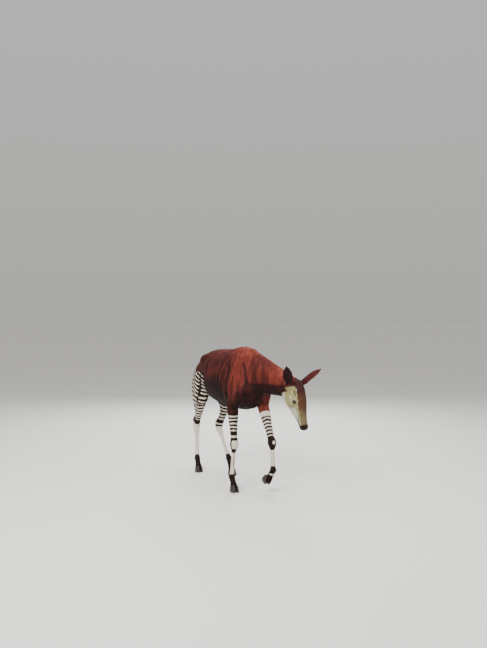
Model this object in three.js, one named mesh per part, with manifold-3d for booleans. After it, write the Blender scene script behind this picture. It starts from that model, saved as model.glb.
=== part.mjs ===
// A life-size okapi, walking with its head held low, in millimetres with +Z up.
// It faces -Y and its left side is +X. The ground is at Z = 0.
// The body is one blended surface, which is meshed, thinned out and then parted with narrow cuts.

import * as THREE from 'three';
import Module from 'manifold-3d';

// Driving sizes of the whole animal
const WITHERS_HEIGHT = 1523;
const CROUP_HEIGHT = 1456;
const CHEST_FLOOR = 848;
const BELLY_HALF_WIDTH = 241;
const HEAD_LENGTH = 448;
const EAR_LENGTH = 280;
const EAR_HALF_WIDTH = 60;
const EYE_RADIUS = 21;
const HOOF_LENGTH = 108;
const HOOF_WIDTH = 43;
const HOOF_HEIGHT = 62;
const CLAW_SPACING = 24.5;

// The head hangs nearly upright and is turned towards the animal's left
const HEAD_YAW = 24;
const HEAD_LEAN = 11;

// Meshing and parting
const CELL = 13;
const BODY_TRIANGLES = 5300;
const GAP = 0.3;

// Places are given as how far forward, left and up they lie, with the fore feet near zero
const at = (forward, left, up) => new THREE.Vector3(left, -forward, up);
const FORWARD = at(1, 0, 0);
const BACKWARD = at(-1, 0, 0);
const UP = at(0, 0, 1);

// Joints and other landmarks of the pose; LEFT is +1 and RIGHT is -1 below
const POLL = at(598, 240, 1184);
const FORE_RIGHT = {
  side: -1,
  blade: at(-62, -92, 1345),
  shoulder: at(112, -138, 1078),
  elbow: at(-52, -172, 905),
  knee: at(-12, -172, 500),
  fetlock: at(-38, -187, 152),
  hoof: at(24, -183, 0),
  toes: at(1, 0, 0),
};
const FORE_LEFT = {
  side: 1,
  blade: at(-30, 92, 1350),
  shoulder: at(150, 134, 1100),
  elbow: at(55, 140, 895),
  knee: at(283, 124, 540),
  fetlock: at(258, 154, 252),
  hoof: at(152, 122, 146),
  toes: at(-0.56, -0.14, -0.76),
};
const HIND_RIGHT = {
  side: -1,
  hip: at(-965, -112, 1215),
  stifle: at(-885, -176, 900),
  hock: at(-1165, -122, 540),
  heel: at(-1222, -124, 612),
  fetlock: at(-1118, -134, 160),
  hoof: at(-1062, -134, 0),
  toes: at(1, 0, 0),
};
const HIND_LEFT = {
  side: 1,
  hip: at(-955, 112, 1215),
  stifle: at(-880, 164, 885),
  hock: at(-1040, 118, 512),
  heel: at(-1108, 118, 566),
  fetlock: at(-806, 138, 190),
  hoof: at(-726, 148, 0),
  toes: at(1, 0, 0),
};

// Joins numbers at given places with a smooth curve that doesn't overshoot, sampled evenly
function smoothColumn(places, values, samples) {
  const slopes = places.map((place, i) => {
    if (i === 0 || i === places.length - 1) {
      return 0;
    }
    const before = (values[i] - values[i - 1]) / (place - places[i - 1]);
    const after = (values[i + 1] - values[i]) / (places[i + 1] - place);
    return before * after <= 0 ? 0 : (2 * before * after) / (before + after);
  });
  slopes[0] = (values[1] - values[0]) / (places[1] - places[0]);
  const last = places.length - 1;
  slopes[last] = (values[last] - values[last - 1]) / (places[last] - places[last - 1]);
  const table = new Float64Array(samples + 1);
  let span = 0;
  for (let n = 0; n <= samples; n++) {
    const place = places[0] + ((places[last] - places[0]) * n) / samples;
    while (span < last - 1 && place > places[span + 1]) {
      span++;
    }
    const width = places[span + 1] - places[span];
    const u = (place - places[span]) / width;
    table[n] = values[span] * (1 + 2 * u) * (1 - u) ** 2
      + slopes[span] * width * u * (1 - u) ** 2
      + values[span + 1] * u * u * (3 - 2 * u)
      + slopes[span + 1] * width * u * u * (u - 1);
  }
  return table;
}

// A solid of oval sections strung along a straight chord, with rounded ends.
// Each station is a share of the chord, half width, depth to the front and back, and shift to the front.
const SAMPLES = 64;
class Loft {
  constructor({ from, to, front, stations, caps, blend }) {
    this.from = from;
    this.axis = to.clone().sub(from);
    this.length = this.axis.length();
    this.axis.normalize();
    this.front = front.clone().addScaledVector(this.axis, -front.dot(this.axis)).normalize();
    this.side = this.axis.clone().cross(this.front);
    this.caps = caps;
    this.blend = blend;
    const places = stations.map((row) => row[0]);
    const column = (index) => smoothColumn(places, stations.map((row) => row[index] ?? 0), SAMPLES);
    [this.width, this.deep, this.back, this.shift] = [1, 2, 3, 4].map(column);
    this.middle = from.clone().lerp(to, 0.5);
    const widest = Math.max(...this.width, ...this.deep, ...this.back);
    const reach = widest + Math.max(...this.shift.map(Math.abs));
    this.radius = this.length / 2 + Math.max(reach, ...caps);
  }

  distance(x, y, z) {
    const dx = x - this.from.x;
    const dy = y - this.from.y;
    const dz = z - this.from.z;
    const along = dx * this.axis.x + dy * this.axis.y + dz * this.axis.z;
    const share = Math.min(1, Math.max(0, along / this.length)) * SAMPLES;
    const row = Math.min(SAMPLES - 1, Math.floor(share));
    const part = share - row;
    const pick = (table) => table[row] + (table[row + 1] - table[row]) * part;
    const across = dx * this.side.x + dy * this.side.y + dz * this.side.z;
    const ahead = dx * this.front.x + dy * this.front.y + dz * this.front.z - pick(this.shift);
    const depth = pick(ahead > 0 ? this.deep : this.back);
    let beyond = 0;
    let cap = this.caps[0];
    if (along < 0) {
      beyond = along;
    } else if (along > this.length) {
      beyond = along - this.length;
      cap = this.caps[1];
    }
    return ovalDistance(across, ahead, beyond, pick(this.width), depth, cap);
  }
}

// A closed oval with three half sizes: across, to the front and along its axis
class Oval {
  constructor({ centre, axis = UP, front = FORWARD, half, blend }) {
    this.middle = centre;
    this.axis = axis.clone().normalize();
    this.front = front.clone().addScaledVector(this.axis, -front.dot(this.axis)).normalize();
    this.side = this.axis.clone().cross(this.front);
    this.half = half;
    this.blend = blend;
    this.radius = Math.max(...half);
  }

  distance(x, y, z) {
    const d = [x - this.middle.x, y - this.middle.y, z - this.middle.z];
    const across = d[0] * this.side.x + d[1] * this.side.y + d[2] * this.side.z;
    const ahead = d[0] * this.front.x + d[1] * this.front.y + d[2] * this.front.z;
    const along = d[0] * this.axis.x + d[1] * this.axis.y + d[2] * this.axis.z;
    return ovalDistance(across, ahead, along, ...this.half);
  }
}

// About how far a place lies outside an oval with these half sizes
function ovalDistance(x, y, z, a, b, c) {
  const ratio = Math.hypot(x / a, y / b, z / c);
  const steepness = Math.hypot(x / (a * a), y / (b * b), z / (c * c));
  return steepness < 1e-9 ? -Math.min(a, b, c) : (ratio * (ratio - 1)) / steepness;
}

// Chest, belly and rump: [forward, top, floor, half width, height of the widest place]
const TRUNK_SECTIONS = [
  [150, 1330, 985, 108, 1150],
  [60, 1464, 890, 150, 1150],
  [-50, WITHERS_HEIGHT - 12, CHEST_FLOOR + 4, 178, 1140],
  [-200, 1508, CHEST_FLOOR - 6, 210, 1130],
  [-350, 1499, CHEST_FLOOR - 8, 232, 1122],
  [-500, 1492, CHEST_FLOOR + 2, BELLY_HALF_WIDTH, 1118],
  [-650, 1486, CHEST_FLOOR + 24, 239, 1130],
  [-800, 1472, CHEST_FLOOR + 56, 220, 1160],
  [-950, CROUP_HEIGHT - 16, CHEST_FLOOR + 100, 191, 1185],
  [-1080, CROUP_HEIGHT - 88, 1005, 156, 1190],
  [-1180, CROUP_HEIGHT - 158, 1085, 106, 1195],
];
function trunkForms() {
  const first = TRUNK_SECTIONS[0][0];
  const run = first - TRUNK_SECTIONS[TRUNK_SECTIONS.length - 1][0];
  const chordHeight = 1150;
  const stations = TRUNK_SECTIONS.map(([forward, top, floor, halfWidth, widest]) => [
    (first - forward) / run, halfWidth, top - widest, widest - floor, widest - chordHeight,
  ]);
  const forms = [
    new Loft({
      from: at(first, 0, chordHeight),
      to: at(first - run, 0, chordHeight),
      front: UP,
      stations,
      caps: [62, 42],
      blend: 50,
    }),
    // The ridge of the withers
    new Oval({ centre: at(-60, 0, WITHERS_HEIGHT - 76), half: [44, 230, 72], blend: 70 }),
    // The front of the breastbone
    new Oval({ centre: at(112, 0, 1020), axis: at(0.35, 0, 1), half: [84, 70, 130], blend: 80 }),
  ];
  for (const side of [-1, 1]) {
    // The points of the hips
    forms.push(new Oval({ centre: at(-850, side * 142, 1352), half: [46, 80, 54], blend: 70 }));
  }
  return forms;
}

function neckForms() {
  return [
    new Loft({
      from: at(40, 0, 1298),
      to: at(572, 206, 1160),
      front: UP,
      stations: [
        [0, 128, 206, 204],
        [0.25, 110, 180, 198],
        [0.5, 96, 148, 186],
        [0.75, 85, 116, 160],
        [1, 78, 84, 128],
      ],
      caps: [90, 44],
      blend: 60,
    }),
  ];
}

// The head's own directions: down the nose, out of the forehead, and to its left
const yaw = THREE.MathUtils.degToRad(HEAD_YAW);
const lean = THREE.MathUtils.degToRad(HEAD_LEAN);
const NOSEWARD = at(Math.cos(yaw) * Math.sin(lean), Math.sin(yaw) * Math.sin(lean), -Math.cos(lean));
const FACEWARD = at(Math.cos(yaw) * Math.cos(lean), Math.sin(yaw) * Math.cos(lean), Math.sin(lean));
const HEAD_LEFT = at(-Math.sin(yaw), Math.cos(yaw), 0);
function onHead(down, out, left) {
  return POLL.clone()
    .addScaledVector(NOSEWARD, down)
    .addScaledVector(FACEWARD, out)
    .addScaledVector(HEAD_LEFT, left);
}
const EYE_PLACE = { down: 184, out: -16, left: 74 };
const EAR_ROOT = { down: 12, out: -46, left: 76 };
const EARS = {
  left: { side: 1, tip: at(0.42, 0.77, 0.58), open: at(0.8, -0.1, -0.55) },
  right: { side: -1, tip: at(0.54, -0.42, 0.71), open: at(0.75, -0.45, -0.35) },
};

function headForms() {
  const forms = [
    new Loft({
      from: POLL,
      to: onHead(HEAD_LENGTH, 0, 0),
      front: FACEWARD,
      stations: [
        [0, 64, 48, 106],
        [0.14, 75, 61, 150],
        [0.30, 81, 64, 173],
        [0.45, 77, 61, 160],
        [0.60, 64, 54, 127],
        [0.75, 52, 47, 93],
        [0.88, 44, 41, 64],
        [1, 41, 36, 47],
      ],
      caps: [34, 28],
      blend: 30,
    }),
    // The upper lip and nose pad
    new Oval({
      centre: onHead(HEAD_LENGTH - 4, 4, 0),
      axis: NOSEWARD,
      front: FACEWARD,
      half: [40, 35, 34],
      blend: 16,
    }),
  ];
  for (const side of [-1, 1]) {
    forms.push(
      // The bony rim round the eye
      new Oval({
        centre: onHead(EYE_PLACE.down - 4, EYE_PLACE.out + 6, side * 58),
        axis: NOSEWARD,
        front: FACEWARD,
        half: [30, 34, 46],
        blend: 24,
      }),
      // The cheek muscle and the corner of the jaw
      new Oval({
        centre: onHead(138, -90, side * 43),
        axis: NOSEWARD,
        front: FACEWARD,
        half: [36, 66, 86],
        blend: 34,
      }),
      // The root of the ear
      new Oval({
        centre: onHead(EAR_ROOT.down + 6, EAR_ROOT.out, side * (EAR_ROOT.left - 14)),
        axis: NOSEWARD,
        front: FACEWARD,
        half: [36, 36, 40],
        blend: 26,
      }),
    );
  }
  return forms;
}

function tailForms() {
  return [
    new Loft({
      from: at(-1184, 0, 1266),
      to: at(-1264, 0, 990),
      front: BACKWARD,
      stations: [
        [0, 34, 26, 30],
        [0.22, 24, 22, 24, 12],
        [0.6, 16, 15, 15, 7],
        [0.75, 20, 18, 18, 2],
        [0.9, 22, 20, 20, 0],
        [1, 12, 12, 12, 0],
      ],
      caps: [28, 34],
      blend: 18,
    }),
  ];
}

// The lower leg from the knee or hock down to the claws, alike in all four legs
const CORONET = { height: HOOF_HEIGHT * 0.72, back: 10 };
function footForms({ top, fetlock, hoof, toes, cannonHalf, topHalf }) {
  const forward = toes.clone().normalize();
  const coronet = hoof.clone()
    .addScaledVector(footUp(toes), CORONET.height)
    .addScaledVector(forward, -CORONET.back);
  return [
    new Loft({
      from: top,
      to: fetlock,
      front: FORWARD,
      stations: [
        [0, topHalf, topHalf + 2, topHalf + 2],
        [0.16, cannonHalf + 4, cannonHalf + 2, cannonHalf + 8],
        [0.45, cannonHalf, cannonHalf - 1, cannonHalf + 5],
        [0.8, cannonHalf + 1, cannonHalf - 1, cannonHalf + 6],
        [1, cannonHalf + 8, cannonHalf + 6, cannonHalf + 12],
      ],
      caps: [20, 22],
      blend: 16,
    }),
    new Loft({
      from: fetlock,
      to: coronet,
      front: forward,
      stations: [
        [0, 31, 29, 33],
        [0.45, 31, 26, 27],
        [0.8, 38, 32, 33],
        [1, 41, 38, 40],
      ],
      caps: [16, 8],
      blend: 16,
    }),
  ];
}

function foreLegForms({ side, blade, shoulder, elbow, knee, fetlock, hoof, toes }) {
  const outward = side * 8;
  const triceps = blade.clone().lerp(elbow, 0.62).add(at(-62, outward, 0));
  return [
    // The shoulder blade with its muscles
    new Loft({
      from: blade,
      to: shoulder,
      front: FORWARD,
      stations: [
        [0, 26, 76, 88],
        [0.5, 42, 78, 90],
        [1, 48, 62, 72],
      ],
      caps: [50, 36],
      blend: 70,
    }),
    new Oval({ centre: triceps, axis: blade.clone().sub(elbow), half: [46, 106, 150], blend: 70 }),
    // The upper arm
    new Loft({
      from: shoulder,
      to: elbow,
      front: FORWARD,
      stations: [
        [0, 50, 70, 70],
        [0.5, 54, 74, 76],
        [1, 52, 62, 66],
      ],
      caps: [36, 40],
      blend: 50,
    }),
    // The point of the elbow
    new Oval({ centre: elbow.clone().add(at(-44, 0, 26)), half: [26, 34, 46], blend: 26 }),
    // The forearm
    new Loft({
      from: elbow,
      to: knee,
      front: FORWARD,
      stations: [
        [0, 56, 62, 66],
        [0.14, 60, 66, 60],
        [0.35, 54, 56, 46],
        [0.6, 43, 43, 36],
        [0.82, 37, 37, 33],
        [1, 39, 39, 36],
      ],
      caps: [40, 36],
      blend: 24,
    }),
    // The knee, with the small bone that stands out behind it
    new Oval({
      centre: knee.clone().add(at(4, 0, -8)),
      axis: knee.clone().sub(fetlock),
      half: [39, 40, 66],
      blend: 26,
    }),
    new Oval({ centre: knee.clone().add(at(-34, 0, 16)), half: [17, 20, 27], blend: 18 }),
    ...footForms({ top: knee, fetlock, hoof, toes, cannonHalf: 21, topHalf: 36 }),
  ];
}

function hindLegForms({ side, hip, stifle, hock, heel, fetlock, hoof, toes }) {
  const seat = at(-1122, side * 110, 1150);
  const calf = stifle.clone().lerp(hock, 0.3).add(at(-58, side * 6, 10));
  return [
    // The thigh
    new Loft({
      from: hip,
      to: stifle,
      front: FORWARD,
      stations: [
        [0, 78, 110, 140],
        [0.35, 94, 122, 156],
        [0.7, 84, 104, 136],
        [1, 62, 70, 84],
      ],
      caps: [90, 46],
      blend: 70,
    }),
    // The buttock, down to the calf
    new Loft({
      from: seat,
      to: calf,
      front: FORWARD,
      stations: [
        [0, 66, 84, 80],
        [0.4, 82, 100, 90],
        [0.75, 68, 82, 68],
        [1, 50, 60, 48],
      ],
      caps: [90, 60],
      blend: 60,
    }),
    // The kneecap
    new Oval({ centre: stifle.clone().add(at(34, 0, 6)), half: [44, 40, 56], blend: 40 }),
    // The shin and calf
    new Loft({
      from: stifle,
      to: hock,
      front: FORWARD,
      stations: [
        [0, 62, 64, 80],
        [0.25, 58, 58, 74],
        [0.5, 46, 46, 58],
        [0.75, 34, 35, 44],
        [1, 34, 36, 38],
      ],
      caps: [40, 30],
      blend: 34,
    }),
    // The heel tendon and the point of the hock
    new Loft({
      from: stifle.clone().lerp(hock, 0.52).add(at(-46, 0, 0)),
      to: heel,
      front: FORWARD,
      stations: [
        [0, 26, 30, 26],
        [0.5, 19, 26, 17],
        [1, 21, 34, 20],
      ],
      caps: [20, 22],
      blend: 22,
    }),
    // The hock
    new Loft({
      from: heel.clone().lerp(hock, 0.3),
      to: hock.clone().lerp(fetlock, 0.16),
      front: FORWARD,
      stations: [
        [0, 27, 40, 22],
        [0.5, 35, 42, 30],
        [1, 31, 31, 31],
      ],
      caps: [26, 24],
      blend: 22,
    }),
    ...footForms({ top: hock, fetlock, hoof, toes, cannonHalf: 22, topHalf: 33 }),
  ];
}

const FORMS = [
  ...trunkForms(),
  ...neckForms(),
  ...headForms(),
  ...tailForms(),
  ...foreLegForms(FORE_RIGHT),
  ...foreLegForms(FORE_LEFT),
  ...hindLegForms(HIND_RIGHT),
  ...hindLegForms(HIND_LEFT),
];

// How far a place lies outside the body, with the forms melted into each other
function bodyDistance(x, y, z) {
  let nearest = 1e6;
  for (const form of FORMS) {
    const away = Math.hypot(x - form.middle.x, y - form.middle.y, z - form.middle.z) - form.radius;
    if (away > nearest + form.blend) {
      continue;
    }
    const distance = form.distance(x, y, z);
    const overlap = Math.max(form.blend - Math.abs(nearest - distance), 0) / form.blend;
    nearest = Math.min(nearest, distance) - overlap * overlap * form.blend * 0.25;
  }
  return nearest;
}

// Samples the body on a grid of cubes, leaving out blocks far from its surface
const BLOCK = 4;
const FAR = 150;
function sampleBody(box) {
  const size = box.getSize(new THREE.Vector3());
  const counts = size.toArray().map((span) => Math.ceil(span / CELL / BLOCK) * BLOCK + 1);
  const values = new Float32Array(counts[0] * counts[1] * counts[2]).fill(FAR);
  const place = (index, axis) => box.min.getComponent(axis) + index * CELL;
  for (let k = 0; k < counts[2]; k += BLOCK) {
    for (let j = 0; j < counts[1]; j += BLOCK) {
      for (let i = 0; i < counts[0]; i += BLOCK) {
        const middle = bodyDistance(...[i, j, k].map((index, axis) => place(index + BLOCK / 2, axis)));
        for (let n = 0; n < BLOCK ** 3; n++) {
          const steps = [n % BLOCK, Math.floor(n / BLOCK) % BLOCK, Math.floor(n / BLOCK ** 2)];
          const cell = [i + steps[0], j + steps[1], k + steps[2]];
          if (cell.some((index, axis) => index >= counts[axis])) {
            continue;
          }
          const offset = cell[0] + counts[0] * (cell[1] + counts[1] * cell[2]);
          values[offset] = Math.abs(middle) > FAR ? middle : bodyDistance(...cell.map(place));
        }
      }
    }
  }
  return { counts, values, origin: box.min };
}

// Cuts each cube of the grid into six tetrahedra and lays triangles where the surface crosses them
const CORNER_PATHS = [[1, 3], [1, 5], [2, 3], [2, 6], [4, 5], [4, 6]];
const NEAREST_CORNER = 0.04;
function meshBody({ counts, values, origin }) {
  const points = [];
  const triangles = [];
  const crossings = new Map();
  const strides = [1, counts[0], counts[0] * counts[1]];
  const placeOf = (index) => new THREE.Vector3(
    origin.x + (index % counts[0]) * CELL,
    origin.y + (Math.floor(index / strides[1]) % counts[1]) * CELL,
    origin.z + Math.floor(index / strides[2]) * CELL,
  );
  const crossing = (inside, outside) => {
    const key = Math.min(inside, outside) * values.length + Math.max(inside, outside);
    if (!crossings.has(key)) {
      const exact = values[inside] / (values[inside] - values[outside]);
      const share = THREE.MathUtils.clamp(exact, NEAREST_CORNER, 1 - NEAREST_CORNER);
      crossings.set(key, points.length);
      points.push(placeOf(inside).lerp(placeOf(outside), share));
    }
    return crossings.get(key);
  };
  const addTriangle = (corners, inner) => {
    const [a, b, c] = corners.map((index) => points[index]);
    const normal = b.clone().sub(a).cross(c.clone().sub(a));
    const outward = normal.dot(a.clone().sub(placeOf(inner))) > 0;
    triangles.push(outward ? corners : [corners[0], corners[2], corners[1]]);
  };
  const cutTetrahedron = (corners) => {
    const inside = corners.filter((index) => values[index] < 0);
    const outside = corners.filter((index) => values[index] >= 0);
    if (inside.length === 1 || inside.length === 3) {
      const [lone, others] = inside.length === 1 ? [inside[0], outside] : [outside[0], inside];
      const cross = (other) => (inside.length === 1 ? crossing(lone, other) : crossing(other, lone));
      const ring = others.map(cross);
      addTriangle(ring, inside[0]);
    } else if (inside.length === 2) {
      const [a, b] = inside;
      const [c, d] = outside;
      const ring = [crossing(a, c), crossing(a, d), crossing(b, d), crossing(b, c)];
      addTriangle([ring[0], ring[1], ring[2]], a);
      addTriangle([ring[0], ring[2], ring[3]], a);
    }
  };
  for (let k = 0; k < counts[2] - 1; k++) {
    for (let j = 0; j < counts[1] - 1; j++) {
      for (let i = 0; i < counts[0] - 1; i++) {
        const base = i + strides[1] * j + strides[2] * k;
        const corner = (bits) => (
          base + (bits & 1) + ((bits >> 1) & 1) * strides[1] + (bits >> 2) * strides[2]
        );
        const signs = new Set([0, 1, 2, 3, 4, 5, 6, 7].map((bits) => values[corner(bits)] < 0));
        if (signs.size > 1) {
          for (const [first, second] of CORNER_PATHS) {
            cutTetrahedron([corner(0), corner(first), corner(second), corner(7)]);
          }
        }
      }
    }
  }
  return { points, triangles };
}

// A heap of edges, cheapest first
class EdgeHeap {
  constructor() {
    this.items = [];
  }

  push(item) {
    const { items } = this;
    let index = items.push(item) - 1;
    while (index > 0) {
      const parent = (index - 1) >> 1;
      if (items[parent].cost <= item.cost) {
        break;
      }
      items[index] = items[parent];
      index = parent;
    }
    items[index] = item;
  }

  pop() {
    const { items } = this;
    const top = items[0];
    const last = items.pop();
    let index = 0;
    while (2 * index + 1 < items.length) {
      let child = 2 * index + 1;
      if (child + 1 < items.length && items[child + 1].cost < items[child].cost) {
        child++;
      }
      if (items[child].cost >= last.cost) {
        break;
      }
      items[index] = items[child];
      index = child;
    }
    if (items.length > 0) {
      items[index] = last;
    }
    return top;
  }
}

// The ten numbers of a sum of squared distances to planes, and their sum at a place
function planeSum(normal, offset, weight) {
  const { x, y, z } = normal;
  return [x * x, x * y, x * z, x * offset, y * y, y * z, y * offset, z * z, z * offset, offset * offset]
    .map((value) => value * weight);
}
function planeError(q, { x, y, z }) {
  return q[0] * x * x + 2 * q[1] * x * y + 2 * q[2] * x * z + 2 * q[3] * x + q[4] * y * y
    + 2 * q[5] * y * z + 2 * q[6] * y + q[7] * z * z + 2 * q[8] * z + q[9];
}

// Thins a closed mesh by folding up the edges that change its shape least
function thinMesh({ points, triangles }, target) {
  const normalOf = (a, b, c) => b.clone().sub(a).cross(c.clone().sub(a));
  const sums = points.map(() => new Array(10).fill(0));
  const fans = points.map(() => new Set());
  const versions = new Uint32Array(points.length);
  triangles.forEach((corners, face) => {
    const normal = normalOf(...corners.map((index) => points[index]));
    const area = normal.length();
    normal.divideScalar(Math.max(area, 1e-9));
    const sum = planeSum(normal, -normal.dot(points[corners[0]]), area);
    for (const index of corners) {
      fans[index].add(face);
      sum.forEach((value, n) => {
        sums[index][n] += value;
      });
    }
  });
  const neighbours = (index) => {
    const ring = new Set();
    for (const face of fans[index]) {
      triangles[face].forEach((corner) => ring.add(corner));
    }
    ring.delete(index);
    return ring;
  };
  const heap = new EdgeHeap();
  const offer = (a, b) => {
    const total = sums[a].map((value, n) => value + sums[b][n]);
    const choices = [0.5, 0.25, 0.75, 0, 1].map((share) => points[a].clone().lerp(points[b], share));
    const matrix = new THREE.Matrix3().set(
      total[0], total[1], total[2],
      total[1], total[4], total[5],
      total[2], total[5], total[7],
    );
    const length = points[a].distanceTo(points[b]);
    const scale = (total[0] + total[4] + total[7]) / 3;
    if (Math.abs(matrix.determinant()) > 1e-4 * scale ** 3) {
      const best = new THREE.Vector3(-total[3], -total[6], -total[8]).applyMatrix3(matrix.invert());
      if (best.distanceTo(choices[0]) < length * 1.5) {
        choices.unshift(best);
      }
    }
    const errors = choices.map((choice) => Math.max(planeError(total, choice), 0));
    const pick = errors.indexOf(Math.min(...errors));
    const cost = errors[pick] + 1e-4 * length ** 4;
    heap.push({ cost, a, b, place: choices[pick], total, stamp: versions[a] + versions[b] });
  };
  points.forEach((_, index) => {
    for (const other of neighbours(index)) {
      if (other > index) {
        offer(index, other);
      }
    }
  });
  let left = triangles.length;
  while (left > target && heap.items.length > 0) {
    const { a, b, place, total, stamp } = heap.pop();
    if (fans[a].size === 0 || fans[b].size === 0 || stamp !== versions[a] + versions[b]) {
      continue;
    }
    const ringA = neighbours(a);
    const shared = [...neighbours(b)].filter((index) => ringA.has(index));
    if (shared.length !== 2 || !ringA.has(b)) {
      continue;
    }
    const flips = [a, b].some((moved) => [...fans[moved]].some((face) => {
      const corners = triangles[face];
      if (corners.includes(a) && corners.includes(b)) {
        return false;
      }
      const before = normalOf(...corners.map((index) => points[index]));
      const after = normalOf(...corners.map((index) => (index === moved ? place : points[index])));
      return after.dot(before) < 0.35 * after.length() * before.length() || after.length() < 2;
    }));
    if (flips) {
      continue;
    }
    points[a] = place;
    sums[a] = total;
    for (const face of fans[b]) {
      const corners = triangles[face];
      if (corners.includes(a)) {
        corners.forEach((index) => fans[index].delete(face));
        triangles[face] = null;
        left--;
      } else {
        corners[corners.indexOf(b)] = a;
        fans[a].add(face);
      }
    }
    fans[b].clear();
    versions[a]++;
    versions[b]++;
    for (const other of neighbours(a)) {
      offer(a, other);
    }
  }
  return { points, triangles: triangles.filter((corners) => corners !== null) };
}

// Moves each corner of the thinned mesh back onto the body's true surface
function settleOnBody(points) {
  const step = 1;
  for (const point of points) {
    for (let pass = 0; pass < 3; pass++) {
      const { x, y, z } = point;
      const slope = new THREE.Vector3(
        bodyDistance(x + step, y, z) - bodyDistance(x - step, y, z),
        bodyDistance(x, y + step, z) - bodyDistance(x, y - step, z),
        bodyDistance(x, y, z + step) - bodyDistance(x, y, z - step),
      ).divideScalar(2 * step);
      const steepness = Math.max(slope.lengthSq(), 0.2);
      const move = THREE.MathUtils.clamp(bodyDistance(x, y, z) / steepness, -4, 4);
      point.addScaledVector(slope, -move);
    }
  }
}

const wasm = await Module();
wasm.setup();

// Turns plain points and triangles into a solid that can be joined and cut
function solidOf(points, triangles) {
  const used = new Map();
  const vertices = [];
  const indices = triangles.flat().map((index) => {
    if (!used.has(index)) {
      used.set(index, used.size);
      vertices.push(...points[index].toArray());
    }
    return used.get(index);
  });
  return new wasm.Manifold(new wasm.Mesh({
    numProp: 3,
    vertProperties: new Float32Array(vertices),
    triVerts: new Uint32Array(indices),
  }));
}

function geometryOf(solid) {
  const mesh = solid.getMesh();
  const geometry = new THREE.BufferGeometry();
  geometry.setAttribute('position', new THREE.BufferAttribute(mesh.vertProperties, 3));
  geometry.setIndex(new THREE.BufferAttribute(mesh.triVerts, 1));
  geometry.computeVertexNormals();
  return geometry;
}

// Joins rings of points, closed at both ends, into triangles that face outwards
function stackRings(rings) {
  const count = rings[0].length;
  const points = rings.flat();
  const triangles = [];
  for (let row = 0; row < rings.length - 1; row++) {
    for (let n = 0; n < count; n++) {
      const next = (n + 1) % count;
      const a = row * count + n;
      const b = row * count + next;
      triangles.push([a, b, b + count], [a, b + count, a + count]);
    }
  }
  const top = (rings.length - 1) * count;
  for (let n = 1; n < count - 1; n++) {
    triangles.push([0, n + 1, n], [top, top + n, top + n + 1]);
  }
  const solid = solidOf(points, triangles);
  return solid.volume() > 0 ? solid : stackRings(rings.map((ring) => ring.reverse()));
}

// A box as a solid, with one face on a plane and reaching away from the body behind it
function regionOf({ centre, normal, width, height, depth, gap = 0 }) {
  const outward = normal.clone().normalize();
  const turn = new THREE.Quaternion().setFromUnitVectors(UP, outward);
  const corner = (x, y, z) => new THREE.Vector3(x * width, y * height, z).applyQuaternion(turn).add(centre);
  const ring = (z) => [[-0.5, -0.5], [0.5, -0.5], [0.5, 0.5], [-0.5, 0.5]].map(([x, y]) => corner(x, y, z));
  return stackRings([ring(gap), ring(depth)]);
}

// The way up out of a foot, square to its toes and nearest to straight up
function footUp(toes) {
  const forward = toes.clone().normalize();
  const level = Math.abs(forward.z) < 0.5;
  const hint = level ? UP : FORWARD;
  return hint.clone().addScaledVector(forward, -hint.dot(forward)).normalize();
}

// One claw of a cloven hoof: rings from the flat sole up to the coronet
const CLAW_RINGS = [
  { height: 0, size: 1, back: 0 },
  { height: 0.5, size: 0.95, back: 6 },
  { height: 1, size: 0.82, back: 18 },
];
const CLAW_SIDES = 10;
const CLAW_POINT = { narrowing: 0.34, inward: 5 };
const CLAW_SLOPE = 0.26;
function clawSolid({ hoof, toes }, side, grow) {
  const forward = toes.clone().normalize();
  const up = footUp(toes);
  const across = forward.clone().cross(up);
  const rings = CLAW_RINGS.map(({ height, size, back }, row) => {
    const ring = [];
    for (let n = 0; n < CLAW_SIDES; n++) {
      const angle = (2 * Math.PI * n) / CLAW_SIDES;
      const ahead = Math.max(Math.cos(angle), 0);
      const along = Math.cos(angle) * (HOOF_LENGTH / 2) * size - back;
      const halfWidth = (HOOF_WIDTH / 2) * size * (1 - CLAW_POINT.narrowing * ahead ** 2);
      const sideways = Math.sin(angle) * halfWidth - side * CLAW_POINT.inward * ahead;
      const slope = 1 + CLAW_SLOPE * Math.cos(angle);
      const rise = HOOF_HEIGHT * height * slope + (row === 0 ? -grow : grow);
      ring.push(hoof.clone()
        .addScaledVector(forward, along + Math.cos(angle) * grow)
        .addScaledVector(across, side * CLAW_SPACING + sideways + Math.sin(angle) * grow)
        .addScaledVector(up, rise));
    }
    return ring;
  });
  return stackRings(rings);
}

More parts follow.
